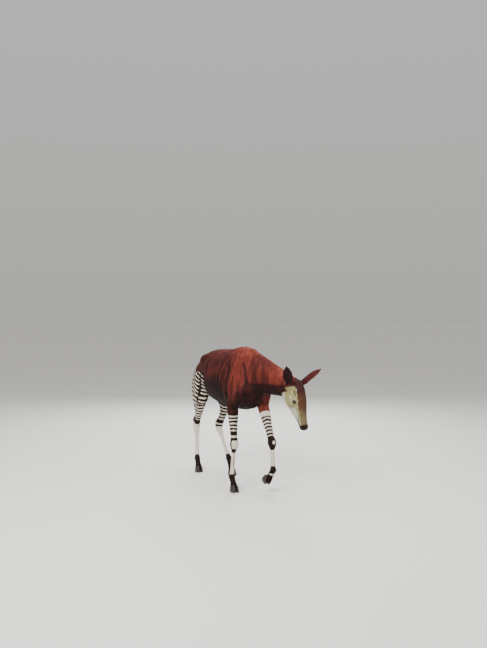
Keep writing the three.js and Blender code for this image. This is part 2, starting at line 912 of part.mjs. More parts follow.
// A cupped leaf: each station is a share of its length, a share of its half width, and half the angle in
// degrees through which it is rolled up
const EAR_STATIONS = [
  [0, 0.74, 128],
  [0.12, 0.86, 112],
  [0.3, 0.98, 84],
  [0.48, 1, 66],
  [0.66, 0.9, 54],
  [0.82, 0.66, 46],
  [0.93, 0.4, 40],
  [1, 0.14, 36],
];
const EAR_ROWS = 9;
const EAR_COLUMNS = 6;
const EAR_THICKNESS = 7;
const EAR_THINNING = 0.45;
const EAR_SWEEP = 12;
const EAR_LIFT = 0.7;
function earSolid({ side, tip, open }, grow) {
  const root = onHead(EAR_ROOT.down, EAR_ROOT.out, side * EAR_ROOT.left);
  const axis = tip.clone().normalize();
  const opening = open.clone().addScaledVector(axis, -open.dot(axis)).normalize();
  const across = axis.clone().cross(opening);
  const places = EAR_STATIONS.map((row) => row[0]);
  const halfWidths = EAR_STATIONS.map((row) => row[1] * EAR_HALF_WIDTH);
  const widths = smoothColumn(places, halfWidths, EAR_ROWS);
  const rolls = smoothColumn(places, EAR_STATIONS.map((row) => row[2]), EAR_ROWS);
  const rings = [];
  for (let row = 0; row <= EAR_ROWS; row++) {
    const half = THREE.MathUtils.degToRad(rolls[row]);
    const radius = widths[row] / half;
    const along = (EAR_LENGTH * row) / EAR_ROWS;
    const place = (share, inset) => {
      const angle = share * (half + grow / radius);
      const reach = radius - inset * (1 - EAR_THINNING * share * share);
      return root.clone()
        .addScaledVector(axis, along - EAR_SWEEP * share * share * (row / EAR_ROWS))
        .addScaledVector(across, Math.sin(angle) * reach)
        .addScaledVector(opening, radius * EAR_LIFT - Math.cos(angle) * reach);
    };
    const shares = Array.from({ length: EAR_COLUMNS + 1 }, (_, n) => (2 * n) / EAR_COLUMNS - 1);
    const thickness = Math.min(EAR_THICKNESS, radius * 0.5);
    rings.push([
      ...shares.map((share) => place(share, -grow)),
      ...shares.reverse().map((share) => place(share, thickness + grow)),
    ]);
  }
  return stackRings(rings);
}

// The cuts that part the body: a plane through a place, and how far it reaches
const WIDE = { width: 1400, height: 1400, depth: 800 };
const PARTINGS = [
  { name: 'head', centre: at(484, 189, 1160), normal: at(0.91, 0.38, -0.12), ...WIDE },
  { name: 'neck', centre: at(166, 40, 1290), normal: at(0.93, 0.1, 0.28), ...WIDE },
  { name: 'tail', centre: at(-1228, 0, 1160), normal: BACKWARD, width: 84, height: 640, depth: 200 },
];
const LEG_PARTINGS = [
  { name: 'front_left_leg', leg: FORE_LEFT, centre: at(90, 130, 925), normal: at(0.25, 0.5, -0.83) },
  { name: 'front_right_leg', leg: FORE_RIGHT, centre: at(-40, -140, 900), normal: at(0.28, -0.52, -0.81) },
  { name: 'rear_left_leg', leg: HIND_LEFT, centre: at(-960, 12, 905), normal: at(-0.54, 0.61, -0.58) },
  { name: 'rear_right_leg', leg: HIND_RIGHT, centre: at(-960, -12, 905), normal: at(-0.54, -0.61, -0.58) },
];

const reach = new THREE.Box3().setFromPoints([at(820, -340, 8), at(-1370, 440, 1640)]);
const rough = meshBody(sampleBody(reach));
const thinned = thinMesh(rough, BODY_TRIANGLES);
const settled = [...new Set(thinned.triangles.flat())].map((index) => thinned.points[index]);
settleOnBody(settled);
let flesh = solidOf(thinned.points, thinned.triangles);

const FINISHES = {
  coat: { color: 0x6e3226, roughness: 0.85 },
  stripes: { color: 0x2b1d19, roughness: 0.85 },
  face: { color: 0xb99f83, roughness: 0.85 },
  ear: { color: 0x3a211c, roughness: 0.85 },
  horn: { color: 0x2a2522, roughness: 0.45 },
  eye: { color: 0x120c0a, roughness: 0.08 },
};
const okapi = new THREE.Group();
function addPiece(name, solid, finish) {
  const material = new THREE.MeshStandardMaterial({ ...FINISHES[finish], metalness: 0 });
  const mesh = new THREE.Mesh(geometryOf(solid), material);
  mesh.name = name;
  okapi.add(mesh);
}

// The claws and the eyeballs are whole solids, and the flesh makes room for them
const FEET = {
  front_left: FORE_LEFT,
  front_right: FORE_RIGHT,
  rear_left: HIND_LEFT,
  rear_right: HIND_RIGHT,
};
for (const [foot, leg] of Object.entries(FEET)) {
  for (const side of [-1, 1]) {
    const outer = side * leg.side < 0;
    addPiece(`${foot}_${outer ? 'outer' : 'inner'}_hoof`, clawSolid(leg, side, 0), 'horn');
    flesh = flesh.subtract(clawSolid(leg, side, GAP));
  }
}

// A ball as rings between two small flats at its poles
const EYE_ROWS = 7;
const EYE_FLAT = 0.04;
function eyeSolid(side, grow) {
  const centre = onHead(EYE_PLACE.down, EYE_PLACE.out, side * EYE_PLACE.left);
  const rings = [];
  for (let row = 0; row <= EYE_ROWS; row++) {
    const tilt = Math.PI * THREE.MathUtils.lerp(EYE_FLAT, 1 - EYE_FLAT, row / EYE_ROWS);
    rings.push(Array.from({ length: 2 * EYE_ROWS }, (_, n) => new THREE.Vector3()
      .setFromSphericalCoords(EYE_RADIUS + grow, Math.PI - tilt, (Math.PI * n) / EYE_ROWS)
      .add(centre)));
  }
  return stackRings(rings);
}
for (const [name, side] of [['left_eye', 1], ['right_eye', -1]]) {
  addPiece(name, eyeSolid(side, 0), 'eye');
  flesh = flesh.subtract(eyeSolid(side, GAP));
}

// Each ear starts a little above its root, which belongs to the head
const EAR_CUT = 34;
const EAR_REGION = { width: 400, height: 400, depth: 400 };
for (const [name, ear] of Object.entries(EARS)) {
  const axis = ear.tip.clone().normalize();
  const root = onHead(EAR_ROOT.down, EAR_ROOT.out, ear.side * EAR_ROOT.left);
  const centre = root.addScaledVector(axis, EAR_CUT);
  const beyond = (gap) => regionOf({ centre, normal: axis, ...EAR_REGION, gap });
  addPiece(`${name}_ear`, earSolid(ear, 0).intersect(beyond(GAP)), 'ear');
  flesh = flesh.add(earSolid(ear, 0).subtract(beyond(0)));
  flesh = flesh.subtract(earSolid(ear, GAP).intersect(beyond(0)));
}

// The cuts graze the flesh here and there, so only the largest of the bodies they free is kept
function largestBody(solid) {
  return solid.decompose().reduce((largest, body) => (body.volume() > largest.volume() ? body : largest));
}

// Takes one limb off the body, leaving a narrow gap behind it
function part(name, finish, region, limits = null) {
  const grown = (gap) => {
    const whole = regionOf({ ...region, gap });
    return limits ? whole.intersect(regionOf({ ...limits, gap })) : whole;
  };
  addPiece(name, largestBody(flesh.intersect(grown(GAP))), finish);
  flesh = flesh.subtract(grown(0));
}
for (const { name, ...region } of PARTINGS) {
  part(name, name === 'head' ? 'face' : 'coat', region);
}
const LEG_REGION = { width: 1700, height: 1700, depth: 1400 };
const OWN_SIDE = { centre: at(0, 0, 600), width: 4000, height: 4000, depth: 500 };
for (const { name, leg, ...region } of LEG_PARTINGS) {
  part(name, 'stripes', { ...region, ...LEG_REGION }, { ...OWN_SIDE, normal: at(0, leg.side, 0) });
}
addPiece('trunk', flesh, 'coat');

// The ground point under the middle of the whole animal becomes the origin
const extent = new THREE.Box3().setFromObject(okapi);
const middle = extent.getCenter(new THREE.Vector3());
okapi.position.set(-middle.x, -middle.y, 0);

export default okapi;
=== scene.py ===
"""A life-size okapi walking with its head held low, as a still museum model.

One skin is laid over forms of bone and muscle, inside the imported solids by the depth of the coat, and short
tufts of hair cover it along the lie of the coat. Eyes and claws are pieces of their own. Lengths are in
millimetres until a mesh is made. Places are given as how far forward, left and up they lie.
"""

import logging
import math
from dataclasses import dataclass, field
from enum import Enum, IntEnum
from functools import partial
from typing import Callable

import bpy
import numpy as np
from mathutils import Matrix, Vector
from numpy.linalg import norm

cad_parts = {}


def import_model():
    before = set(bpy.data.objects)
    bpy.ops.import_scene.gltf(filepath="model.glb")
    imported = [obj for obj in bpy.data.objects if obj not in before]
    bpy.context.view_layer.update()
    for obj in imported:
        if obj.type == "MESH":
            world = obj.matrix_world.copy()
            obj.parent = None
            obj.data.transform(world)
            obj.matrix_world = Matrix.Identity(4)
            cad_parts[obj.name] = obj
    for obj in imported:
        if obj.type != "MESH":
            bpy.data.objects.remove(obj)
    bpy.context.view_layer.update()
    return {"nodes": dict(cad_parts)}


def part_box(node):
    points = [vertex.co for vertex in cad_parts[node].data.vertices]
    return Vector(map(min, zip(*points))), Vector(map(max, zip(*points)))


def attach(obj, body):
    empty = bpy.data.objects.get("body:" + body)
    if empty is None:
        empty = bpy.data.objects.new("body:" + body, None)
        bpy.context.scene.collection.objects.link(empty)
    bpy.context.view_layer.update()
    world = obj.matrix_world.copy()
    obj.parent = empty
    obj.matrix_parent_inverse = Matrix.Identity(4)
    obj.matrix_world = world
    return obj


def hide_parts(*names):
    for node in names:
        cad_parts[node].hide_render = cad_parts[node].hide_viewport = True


log = logging.getLogger("okapi")
Array = np.ndarray
Piece = bpy.types.Object
Material = bpy.types.Material
Tree = bpy.types.NodeTree
Socket = bpy.types.NodeSocket

METRES = 0.001
SEED = 20
BODY = "root"

# Driving sizes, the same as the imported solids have
WITHERS_HEIGHT = 1523.0
CROUP_HEIGHT = 1456.0
CHEST_FLOOR = 848.0
BELLY_HALF_WIDTH = 241.0
HEAD_LENGTH = 448.0
EAR_LENGTH = 280.0
EAR_HALF_WIDTH = 60.0
EYE_RADIUS = 21.0
HOOF_LENGTH = 108.0
HOOF_WIDTH = 43.0
HOOF_HEIGHT = 62.0
CLAW_SPACING = 24.5
HEAD_YAW = math.radians(24)
HEAD_LEAN = math.radians(11)


def at(forward: float, left: float, up: float) -> Array:
    """A place or a direction, from how far forward, left and up it goes."""
    return np.array([left, -forward, up], float)


def spread(points: Array) -> tuple[Array, Array, Array]:
    """How far forward, left and up places lie."""
    return -points[:, 1], points[:, 0], points[:, 2]


def unit(vector: Array) -> Array:
    """The same direction at length one, for one vector or for rows of them."""
    return vector / np.maximum(norm(vector, axis=-1, keepdims=True), 1e-9)


def square_to(direction: Array, axis: Array) -> Array:
    """The part of a direction that is square to an axis, at length one."""
    return unit(direction - (direction @ axis)[..., None] * axis)


def gap(points: Array, places: list) -> Array:
    """How far each point lies from the nearest of some places."""
    return np.min([norm(points - place, axis=1) for place in places], axis=0)


def ramp(value: Array, low: float, high: float) -> Array:
    """A soft step that climbs from 0 at low to 1 at high, or falls where low is the higher."""
    share = np.clip((value - low) / (high - low), 0, 1)
    return share * share * (3 - 2 * share)


def band(value: Array, low: float, high: float, soft: float) -> Array:
    """One between low and high and zero outside, with soft edges that are half way at low and high."""
    return ramp(value, low - soft, low + soft) * ramp(value, high + soft, high - soft)


FORWARD = at(1, 0, 0)
BACKWARD = at(-1, 0, 0)
LEFTWARD = at(0, 1, 0)
UP = at(0, 0, 1)
DOWN = at(0, 0, -1)

# The head's own directions: down the nose, out of the forehead, and to its left
POLL = at(598, 240, 1184)
HEADING = at(math.cos(HEAD_YAW), math.sin(HEAD_YAW), 0)
NOSEWARD = math.sin(HEAD_LEAN) * HEADING + math.cos(HEAD_LEAN) * DOWN
FACEWARD = math.cos(HEAD_LEAN) * HEADING + math.sin(HEAD_LEAN) * UP
HEAD_LEFT = at(-math.sin(HEAD_YAW), math.cos(HEAD_YAW), 0)
HEAD_AXES = np.stack([NOSEWARD, FACEWARD, HEAD_LEFT])
EYE_DOWN, EYE_OUT, EYE_LEFT = 184.0, -16.0, 74.0
EAR_DOWN, EAR_OUT, EAR_LEFT = 12.0, -46.0, 76.0


def on_head(down: float, out: float, left: float) -> Array:
    """A place on the head, from how far down the nose, out of the forehead and to the left it lies."""
    return POLL + np.array([down, out, left]) @ HEAD_AXES


def in_head_box(points: Array, low: tuple, high: tuple) -> Array:
    """Which points lie in a box on the head, given by its lowest and highest corner."""
    head = (points - POLL) @ HEAD_AXES.T
    return ((head > low) & (head < high)).all(1)


class Region(IntEnum):
    """The parts of the body whose coats lie and look different."""

    TRUNK = 0
    NECK = 1
    HEAD = 2
    TAIL = 3
    FRONT_RIGHT = 4
    FRONT_LEFT = 5
    REAR_RIGHT = 6
    REAR_LEFT = 7


# Forms of bone and muscle


def smooth_column(places: Array, values: Array, samples: int) -> Array:
    """Joins numbers at given places with a smooth curve that doesn't overshoot, sampled evenly.

    Args:
        places: Where the numbers stand.
        values: The numbers.
        samples: How many steps the curve is cut into.

    Returns:
        The curve's height at the end of each step.
    """
    steps = np.diff(places)
    rises = np.diff(values) / steps
    total = rises[:-1] + rises[1:]
    product = rises[:-1] * rises[1:]
    inner = np.where(product > 0, 2 * product / np.where(total == 0, 1, total), 0)
    slopes = np.concatenate([rises[:1], inner, rises[-1:]])
    where = np.linspace(places[0], places[-1], samples + 1)
    span = np.clip(np.searchsorted(places, where, side="right") - 1, 0, len(steps) - 1)
    width = steps[span]
    u = (where - places[span]) / width
    return (
        values[span] * (1 + 2 * u) * (1 - u) ** 2
        + slopes[span] * width * u * (1 - u) ** 2
        + values[span + 1] * u * u * (3 - 2 * u)
        + slopes[span + 1] * width * u * u * (u - 1)
    )


def oval_distance(offsets: tuple[Array, Array, Array], halves: tuple) -> Array:
    """About how far places lie outside an oval with these half sizes.

    Args:
        offsets: How far the places lie from its middle along its three axes.
        halves: Its half sizes along them.

    Returns:
        The distances, below zero inside.
    """
    ratio = np.sqrt(sum((o / h) ** 2 for o, h in zip(offsets, halves)))
    steepness = np.sqrt(sum((o / h**2) ** 2 for o, h in zip(offsets, halves)))
    deepest = -np.minimum(np.minimum(halves[0], halves[1]), halves[2])
    return np.where(steepness < 1e-9, deepest, ratio * (ratio - 1) / np.maximum(steepness, 1e-9))


@dataclass
class Loft:
    """Oval sections strung along a straight chord, with rounded ends.

    Each station is a share of the chord, half width, depth to the front, depth to the back and, where it has
    one, a shift to the front. caps is how far the ends stand out, and blend how softly the form melts into
    those before it.
    """

    start: Array
    end: Array
    stations: list
    caps: tuple
    blend: float
    front: Array = field(default_factory=lambda: FORWARD)

    SAMPLES = 64

    def __post_init__(self) -> None:
        """Samples the sections along the chord."""
        self.length = float(norm(self.end - self.start))
        self.axis = unit(self.end - self.start)
        self.front = square_to(self.front, self.axis)
        self.side = np.cross(self.axis, self.front)
        rows = np.array([tuple(row) + (0,) * (5 - len(row)) for row in self.stations], float)
        columns = [smooth_column(rows[:, 0], rows[:, n], self.SAMPLES) for n in (1, 2, 3, 4)]
        self.width, self.deep, self.back, self.shift = columns
        self.middle = (self.start + self.end) / 2
        reach = max(self.width.max(), self.deep.max(), self.back.max()) + np.abs(self.shift).max()
        self.radius = self.length / 2 + max(reach, *self.caps)

    def distance(self, points: Array) -> Array:
        """About how far each point lies outside.

        Args:
            points: Places, one a row.

        Returns:
            The distances, below zero inside.
        """
        offset = points - self.start
        along = offset @ self.axis
        share = np.clip(along / self.length, 0, 1) * self.SAMPLES
        row = np.minimum(share.astype(int), self.SAMPLES - 1)
        part = share - row

        def pick(table: Array) -> Array:
            """The value at each point's share of the chord."""
            return table[row] + (table[row + 1] - table[row]) * part

        ahead = offset @ self.front - pick(self.shift)
        depth = np.where(ahead > 0, pick(self.deep), pick(self.back))
        beyond = along - np.clip(along, 0, self.length)
        cap = np.where(along < 0, *self.caps)
        return oval_distance((offset @ self.side, ahead, beyond), (pick(self.width), depth, cap))


@dataclass
class Oval:
    """A closed oval with three half sizes: across, to the front and along its axis."""

    middle: Array
    half: tuple
    blend: float
    axis: Array = field(default_factory=lambda: UP)
    front: Array = field(default_factory=lambda: FORWARD)

    def __post_init__(self) -> None:
        """Squares up its directions."""
        self.axis = unit(self.axis)
        self.front = square_to(self.front, self.axis)
        self.side = np.cross(self.axis, self.front)
        self.radius = max(self.half)

    def distance(self, points: Array) -> Array:
        """About how far each point lies outside."""
        offset = points - self.middle
        return oval_distance((offset @ self.side, offset @ self.front, offset @ self.axis), self.half)


def trunk_forms() -> list:
    """Chest, belly and rump, the withers, the breastbone and the points of the hips.

    Returns:
        The forms.
    """
    sections = [
        (150, 1330, 985, 108, 1150),
        (60, 1464, 890, 150, 1150),
        (-50, WITHERS_HEIGHT - 12, CHEST_FLOOR + 4, 178, 1140),
        (-200, 1508, CHEST_FLOOR - 6, 210, 1130),
        (-350, 1499, CHEST_FLOOR - 8, 232, 1122),
        (-500, 1492, CHEST_FLOOR + 2, BELLY_HALF_WIDTH, 1118),
        (-650, 1486, CHEST_FLOOR + 24, 239, 1130),
        (-800, 1472, CHEST_FLOOR + 56, 220, 1160),
        (-950, CROUP_HEIGHT - 16, CHEST_FLOOR + 100, 191, 1185),
        (-1080, CROUP_HEIGHT - 88, 1005, 156, 1190),
        (-1180, CROUP_HEIGHT - 158, 1085, 106, 1195),
    ]
    first, last, chord = sections[0][0], sections[-1][0], 1150
    stations = [
        ((first - forward) / (first - last), half, top - widest, widest - floor, widest - chord)
        for forward, top, floor, half, widest in sections
    ]
    forms = [
        Loft(at(first, 0, chord), at(last, 0, chord), stations, (62, 42), 50, front=UP),
        Oval(at(-60, 0, WITHERS_HEIGHT - 76), (44, 230, 72), 70),
        Oval(at(112, 0, 1020), (84, 70, 130), 80, axis=at(0.35, 0, 1)),
    ]
    forms += [Oval(at(-850, side * 142, 1352), (46, 80, 54), 70) for side in (-1, 1)]
    return forms


def neck_forms() -> list:
    """The neck from the withers to the poll."""
    stations = [
        (0, 128, 206, 204), (0.25, 110, 180, 198), (0.5, 96, 148, 186), (0.75, 85, 116, 160),
        (1, 78, 84, 128),
    ]
    return [Loft(at(40, 0, 1298), at(572, 206, 1160), stations, (90, 44), 60, front=UP)]


# Share of the head's length, half width, depth to the forehead and depth to the jaw
HEAD_STATIONS = [
    (0, 64, 48, 106), (0.14, 75, 61, 150), (0.30, 81, 64, 173), (0.45, 77, 61, 160),
    (0.60, 64, 54, 127), (0.75, 52, 47, 93), (0.88, 44, 41, 64), (1, 41, 36, 47),
]


def head_forms() -> list:
    """The skull, the lips, the rims round the eyes, the cheeks and the roots of the ears.

    Returns:
        The forms.
    """
    along = {"axis": NOSEWARD, "front": FACEWARD}
    forms = [
        Loft(POLL, on_head(HEAD_LENGTH, 0, 0), HEAD_STATIONS, (34, 28), 30, front=FACEWARD),
        Oval(on_head(HEAD_LENGTH - 4, 4, 0), (40, 35, 34), 16, **along),
    ]
    for side in (-1, 1):
        forms += [
            Oval(on_head(EYE_DOWN - 4, EYE_OUT + 6, side * 58), (30, 34, 46), 24, **along),
            Oval(on_head(138, -90, side * 43), (36, 66, 86), 34, **along),
            Oval(on_head(EAR_DOWN + 6, EAR_OUT, side * (EAR_LEFT - 14)), (36, 36, 40), 26, **along),
        ]
    return forms


def tail_forms() -> list:
    """The tail with its tuft."""
    stations = [
        (0, 34, 26, 30), (0.22, 24, 22, 24, 12), (0.6, 16, 15, 15, 7), (0.75, 20, 18, 18, 2),
        (0.9, 22, 20, 20, 0), (1, 12, 12, 12, 0),
    ]
    return [Loft(at(-1184, 0, 1266), at(-1264, 0, 990), stations, (28, 34), 18, front=BACKWARD)]


@dataclass(frozen=True)
class Leg:
    """A leg's landmarks from the body down to the ground.

    marks are solid bands above the knee or hock: low and high along the leg, least and most to the front,
    which runs from -1 behind the leg to 1 before it, and tone.
    """

    region: Region
    side: int
    joint: Array
    fetlock: Array
    hoof: Array
    toes: Array
    upper: tuple
    lie: tuple
    stripes: tuple
    marks: tuple
    cannon: float

    @property
    def sole_up(self) -> Array:
        """The way up out of the foot, square to its toes and nearest to straight up."""
        forward = unit(self.toes)
        return square_to(UP if abs(forward[2]) < 0.5 else FORWARD, forward)

    def foot_forms(self) -> list:
        """The lower leg from the knee or hock down to the claws.

        Returns:
            The forms.
        """
        forward = unit(self.toes)
        top = self.cannon + (15 if self.region in FORE else 11)
        coronet = self.hoof + self.sole_up * HOOF_HEIGHT * 0.72 - forward * 10
        c = self.cannon
        cannon = [
            (0, top, top + 2, top + 2),
            (0.16, c + 4, c + 2, c + 8),
            (0.45, c, c - 1, c + 5),
            (0.8, c + 1, c - 1, c + 6),
            (1, c + 8, c + 6, c + 12),
        ]
        pastern = [(0, 31, 29, 33), (0.45, 31, 26, 27), (0.8, 38, 32, 33), (1, 41, 38, 40)]
        return [
            Loft(self.joint, self.fetlock, cannon, (20, 22), 16),
            Loft(self.fetlock, coronet, pastern, (16, 8), 16, front=forward),
        ]

    def forms(self) -> list:
        """All forms of the leg."""
        return (self.fore_forms() if self.region in FORE else self.hind_forms()) + self.foot_forms()

    def fore_forms(self) -> list:
        """The shoulder blade, upper arm, elbow, forearm and knee.

        Returns:
            The forms.
        """
        blade, shoulder, elbow = self.upper
        knee = self.joint
        triceps = blade + (elbow - blade) * 0.62 + at(-62, self.side * 8, 0)
        forearm = [
            (0, 56, 62, 66), (0.14, 60, 66, 60), (0.35, 54, 56, 46), (0.6, 43, 43, 36),
            (0.82, 37, 37, 33), (1, 39, 39, 36),
        ]
        return [
            Loft(blade, shoulder, [(0, 26, 76, 88), (0.5, 42, 78, 90), (1, 48, 62, 72)], (50, 36), 70),
            Oval(triceps, (46, 106, 150), 70, axis=blade - elbow),
            Loft(shoulder, elbow, [(0, 50, 70, 70), (0.5, 54, 74, 76), (1, 52, 62, 66)], (36, 40), 50),
            Oval(elbow + at(-44, 0, 26), (26, 34, 46), 26),
            Loft(elbow, knee, forearm, (40, 36), 24),
            Oval(knee + at(4, 0, -8), (39, 40, 66), 26, axis=knee - self.fetlock),
            Oval(knee + at(-34, 0, 16), (17, 20, 27), 18),
        ]

    def hind_forms(self) -> list:
        """The thigh, buttock, kneecap, shin, heel tendon and hock.

        Returns:
            The forms.
        """
        hip, stifle, heel = self.upper
        hock = self.joint
        calf = stifle + (hock - stifle) * 0.3 + at(-58, self.side * 6, 10)
        thigh = [(0, 78, 110, 140), (0.35, 94, 122, 156), (0.7, 84, 104, 136), (1, 62, 70, 84)]
        buttock = [(0, 66, 84, 80), (0.4, 82, 100, 90), (0.75, 68, 82, 68), (1, 50, 60, 48)]
        shin = [(0, 62, 64, 80), (0.25, 58, 58, 74), (0.5, 46, 46, 58), (0.75, 34, 35, 44), (1, 34, 36, 38)]
        tendon = stifle + (hock - stifle) * 0.52 + at(-46, 0, 0)
        point = heel + (hock - heel) * 0.3
        below = hock + (self.fetlock - hock) * 0.16
        return [
            Loft(hip, stifle, thigh, (90, 46), 70),
            Loft(at(-1122, self.side * 110, 1150), calf, buttock, (90, 60), 60),
            Oval(stifle + at(34, 0, 6), (44, 40, 56), 40),
            Loft(stifle, hock, shin, (40, 30), 34),
            Loft(tendon, heel, [(0, 26, 30, 26), (0.5, 19, 26, 17), (1, 21, 34, 20)], (20, 22), 22),
            Loft(point, below, [(0, 27, 40, 22), (0.5, 35, 42, 30), (1, 31, 31, 31)], (26, 24), 22),
        ]

    def locate(self, points: Array) -> tuple[Array, Array]:
        """Where points lie on the leg.

        Args:
            points: Places, one a row.

        Returns:
            How far along the leg each lies above the knee or hock, and how far round to the front it lies.
        """
        chain = [self.hoof, self.fetlock, self.joint, *self.lie]
        starts = np.cumsum([0] + [norm(b - a) for a, b in zip(chain, chain[1:])])
        starts = starts - starts[2]
        total = np.zeros(len(points))
        along = np.zeros(len(points))
        ahead = np.zeros(len(points))
        for a, b, start in zip(chain, chain[1:], starts):
            axis = unit(b - a)
            length = norm(b - a)
            reach = (points - a) @ axis
            held = np.clip(reach, 0, length)
            offset = points - a - held[:, None] * axis
            away = norm(offset, axis=1)
            weight = np.exp(-away / 22) + 1e-12
            total += weight
            along += weight * (start + reach)
            ahead += weight * (unit(offset) @ square_to(FORWARD, axis))
        return along / total, ahead / total


class Tone(Enum):
    """The two colours of a leg's solid bands."""

    DARK = 0
    PALE = 1


FORE = (Region.FRONT_RIGHT, Region.FRONT_LEFT)
LEG_COLUMNS = slice(Region.FRONT_RIGHT, None)
LEGS = [
    Leg(
        region=Region.FRONT_RIGHT, side=-1,
        upper=(at(-62, -92, 1345), at(112, -138, 1078), at(-52, -172, 905)),
        joint=at(-12, -172, 500), fetlock=at(-38, -187, 152),
        hoof=at(24, -183, 0), toes=at(1, 0, 0),
        lie=(at(-42, -172, 905), at(10, -150, 1250)), stripes=(132, 318),
        marks=(
            (74, 96, -1.2, 1.2, Tone.PALE),
            (-42, 44, 0.42, 1.2, Tone.PALE),
            (-318, -86, -1.2, 1.2, Tone.PALE),
            (-262, -100, 0.95, 1.0, Tone.DARK),
        ),
        cannon=21,
    ),
    Leg(
        region=Region.FRONT_LEFT, side=1,
        upper=(at(-30, 92, 1350), at(150, 134, 1100), at(55, 140, 895)),
        joint=at(283, 124, 540), fetlock=at(258, 154, 252),
        hoof=at(152, 122, 146), toes=at(-0.56, -0.14, -0.76),
        lie=(at(62, 140, 895), at(-30, 140, 1250)), stripes=(62, 284),
        marks=(
            (292, 346, -1.2, 1.2, Tone.PALE),
            (-58, 66, 0.88, 1.2, Tone.PALE),
            (-246, -70, -0.05, 1.2, Tone.PALE),
            (-346, -326, 0.5, 1.2, Tone.PALE),
        ),
        cannon=21,
    ),
    Leg(
        region=Region.REAR_RIGHT, side=-1,
        upper=(at(-965, -112, 1215), at(-885, -176, 900), at(-1222, -124, 612)),
        joint=at(-1165, -122, 540), fetlock=at(-1118, -134, 160),
        hoof=at(-1062, -134, 0), toes=at(1, 0, 0),
        lie=(at(-1000, -160, 860), at(-870, -150, 1290)), stripes=(118, 812),
        marks=((-340, 44, -1.2, 1.2, Tone.PALE),),
        cannon=22,
    ),
    Leg(
        region=Region.REAR_LEFT, side=1,
        upper=(at(-955, 112, 1215), at(-880, 164, 885), at(-1108, 118, 566)),
        joint=at(-1040, 118, 512), fetlock=at(-806, 138, 190),
        hoof=at(-726, 148, 0), toes=at(1, 0, 0),
        lie=(at(-985, 150, 850), at(-870, 150, 1290)), stripes=(96, 840),
        marks=((-350, 18, -1.2, 1.2, Tone.PALE), (44, 62, -1.2, 1.2, Tone.PALE)),
        cannon=22,
    ),
]


class Body:
    """All forms, melted into one closed surface."""

    def __init__(self) -> None:
        """Collects the forms in the order in which they melt together."""
        self.parts = {
            Region.TRUNK: trunk_forms(),
            Region.NECK: neck_forms(),
            Region.HEAD: head_forms(),
            Region.TAIL: tail_forms(),
        }
        self.parts.update({leg.region: leg.forms() for leg in LEGS})

    def distance(self, points: Array) -> Array:
        """How far each point lies outside the body.

        Args:
            points: Places, one a row.

        Returns:
            The distances, below zero inside.
        """
        nearest = np.full(len(points), 1e6)
        for form in (form for forms in self.parts.values() for form in forms):
            away = norm(points - form.middle, axis=1) - form.radius
            near = np.flatnonzero(away <= nearest + form.blend)
            if len(near) == 0:
                continue
            found = form.distance(points[near])
            before = nearest[near]
            overlap = np.maximum(form.blend - np.abs(before - found), 0) / form.blend
            nearest[near] = np.minimum(before, found) - overlap * overlap * form.blend * 0.25
        return nearest

    def slope(self, points: Array, step: float = 0.7) -> Array:
        """The direction in which the distance grows, from four samples round each point."""
        corners = np.array([(1, -1, -1), (-1, -1, 1), (-1, 1, -1), (1, 1, 1)], float)
        return sum(self.distance(points + step * c)[:, None] * c for c in corners) / (4 * step)

    def settle(self, points: Array, depth: Array, passes: int = 3) -> Array:
        """Moves points onto the surface that lies at a depth inside the body.

        Args:
            points: Places, one a row.
            depth: How deep each shall lie.
            passes: How often they move.

        Returns:
            The moved places.
        """
        for _ in range(passes):
            slope = self.slope(points)
            steepness = np.maximum((slope**2).sum(1), 0.2)
            move = np.clip((self.distance(points) + depth) / steepness, -6, 6)
            points = points - slope * move[:, None]
        return points

    def shares(self, points: Array, softness: float = 22.0) -> Array:
        """How much each point belongs to each region, one column for each.

        Args:
            points: Places, one a row.
            softness: Over what distance a region gives way to the next.

        Returns:
            The shares, which add up to one in each row.
        """
        table = np.full((len(points), len(Region)), 400.0)
        for region, forms in self.parts.items():
            for form in forms:
                away = norm(points - form.middle, axis=1) - form.radius
                near = np.flatnonzero(away < 150)
                column = table[:, region]
                column[near] = np.minimum(column[near], form.distance(points[near]))
        weights = np.exp(-(table - table.min(1, keepdims=True)) / softness)
        return weights / weights.sum(1, keepdims=True)


# Meshing


def net_of(values: Array, cell: float, origin: Array) -> tuple[Array, Array]:
    """Lays a net of quads where a grid of values changes sign.

    Args:
        values: Signed distances on a grid.
        cell: The grid's spacing.
        origin: The place of its first value.

    Returns:
        The net's points and its quads, which face outwards.
    """
    inside = values < 0
    cells = np.array(values.shape) - 1
    count = np.zeros(cells, np.int8)
    for corner in np.ndindex(2, 2, 2):
        count += inside[tuple(slice(c, c + n) for c, n in zip(corner, cells))]
    crossed = (count > 0) & (count < 8)
    index = np.full(cells, -1)
    index[crossed] = np.arange(crossed.sum())
    spots = np.argwhere(crossed)
    total = np.zeros((len(spots), 3))
    cuts = np.zeros((len(spots), 1))
    for axis in range(3):
        for pair in np.ndindex(2, 2):
            low = np.zeros(3, int)
            low[(axis + 1) % 3], low[(axis + 2) % 3] = pair
            high = low.copy()
            high[axis] = 1
            a = values[tuple((spots + low).T)]
            b = values[tuple((spots + high).T)]
            cut = (a < 0) != (b < 0)
            place = (spots + low).astype(float)
            place[:, axis] += np.where(cut, a / np.where(cut, a - b, 1), 0)
            total += place * cut[:, None]
            cuts += cut[:, None]
    quads = []
    for axis in range(3):
        across, over = (axis + 1) % 3, (axis + 2) % 3
        low = np.take(inside, range(values.shape[axis] - 1), axis)
        high = np.take(inside, range(1, values.shape[axis]), axis)
        edges = np.argwhere(low != high)
        step_across = np.eye(3, dtype=int)[across]
        step_over = np.eye(3, dtype=int)[over]
        ring = [edges - step_across - step_over, edges - step_over, edges, edges - step_across]
        quad = np.stack([index[tuple(r.T)] for r in ring], 1)
        inward = ~low[tuple(edges.T)]
        quad[inward] = quad[inward, ::-1]
        quads.append(quad)
    return origin + cell * total / cuts, np.concatenate(quads)


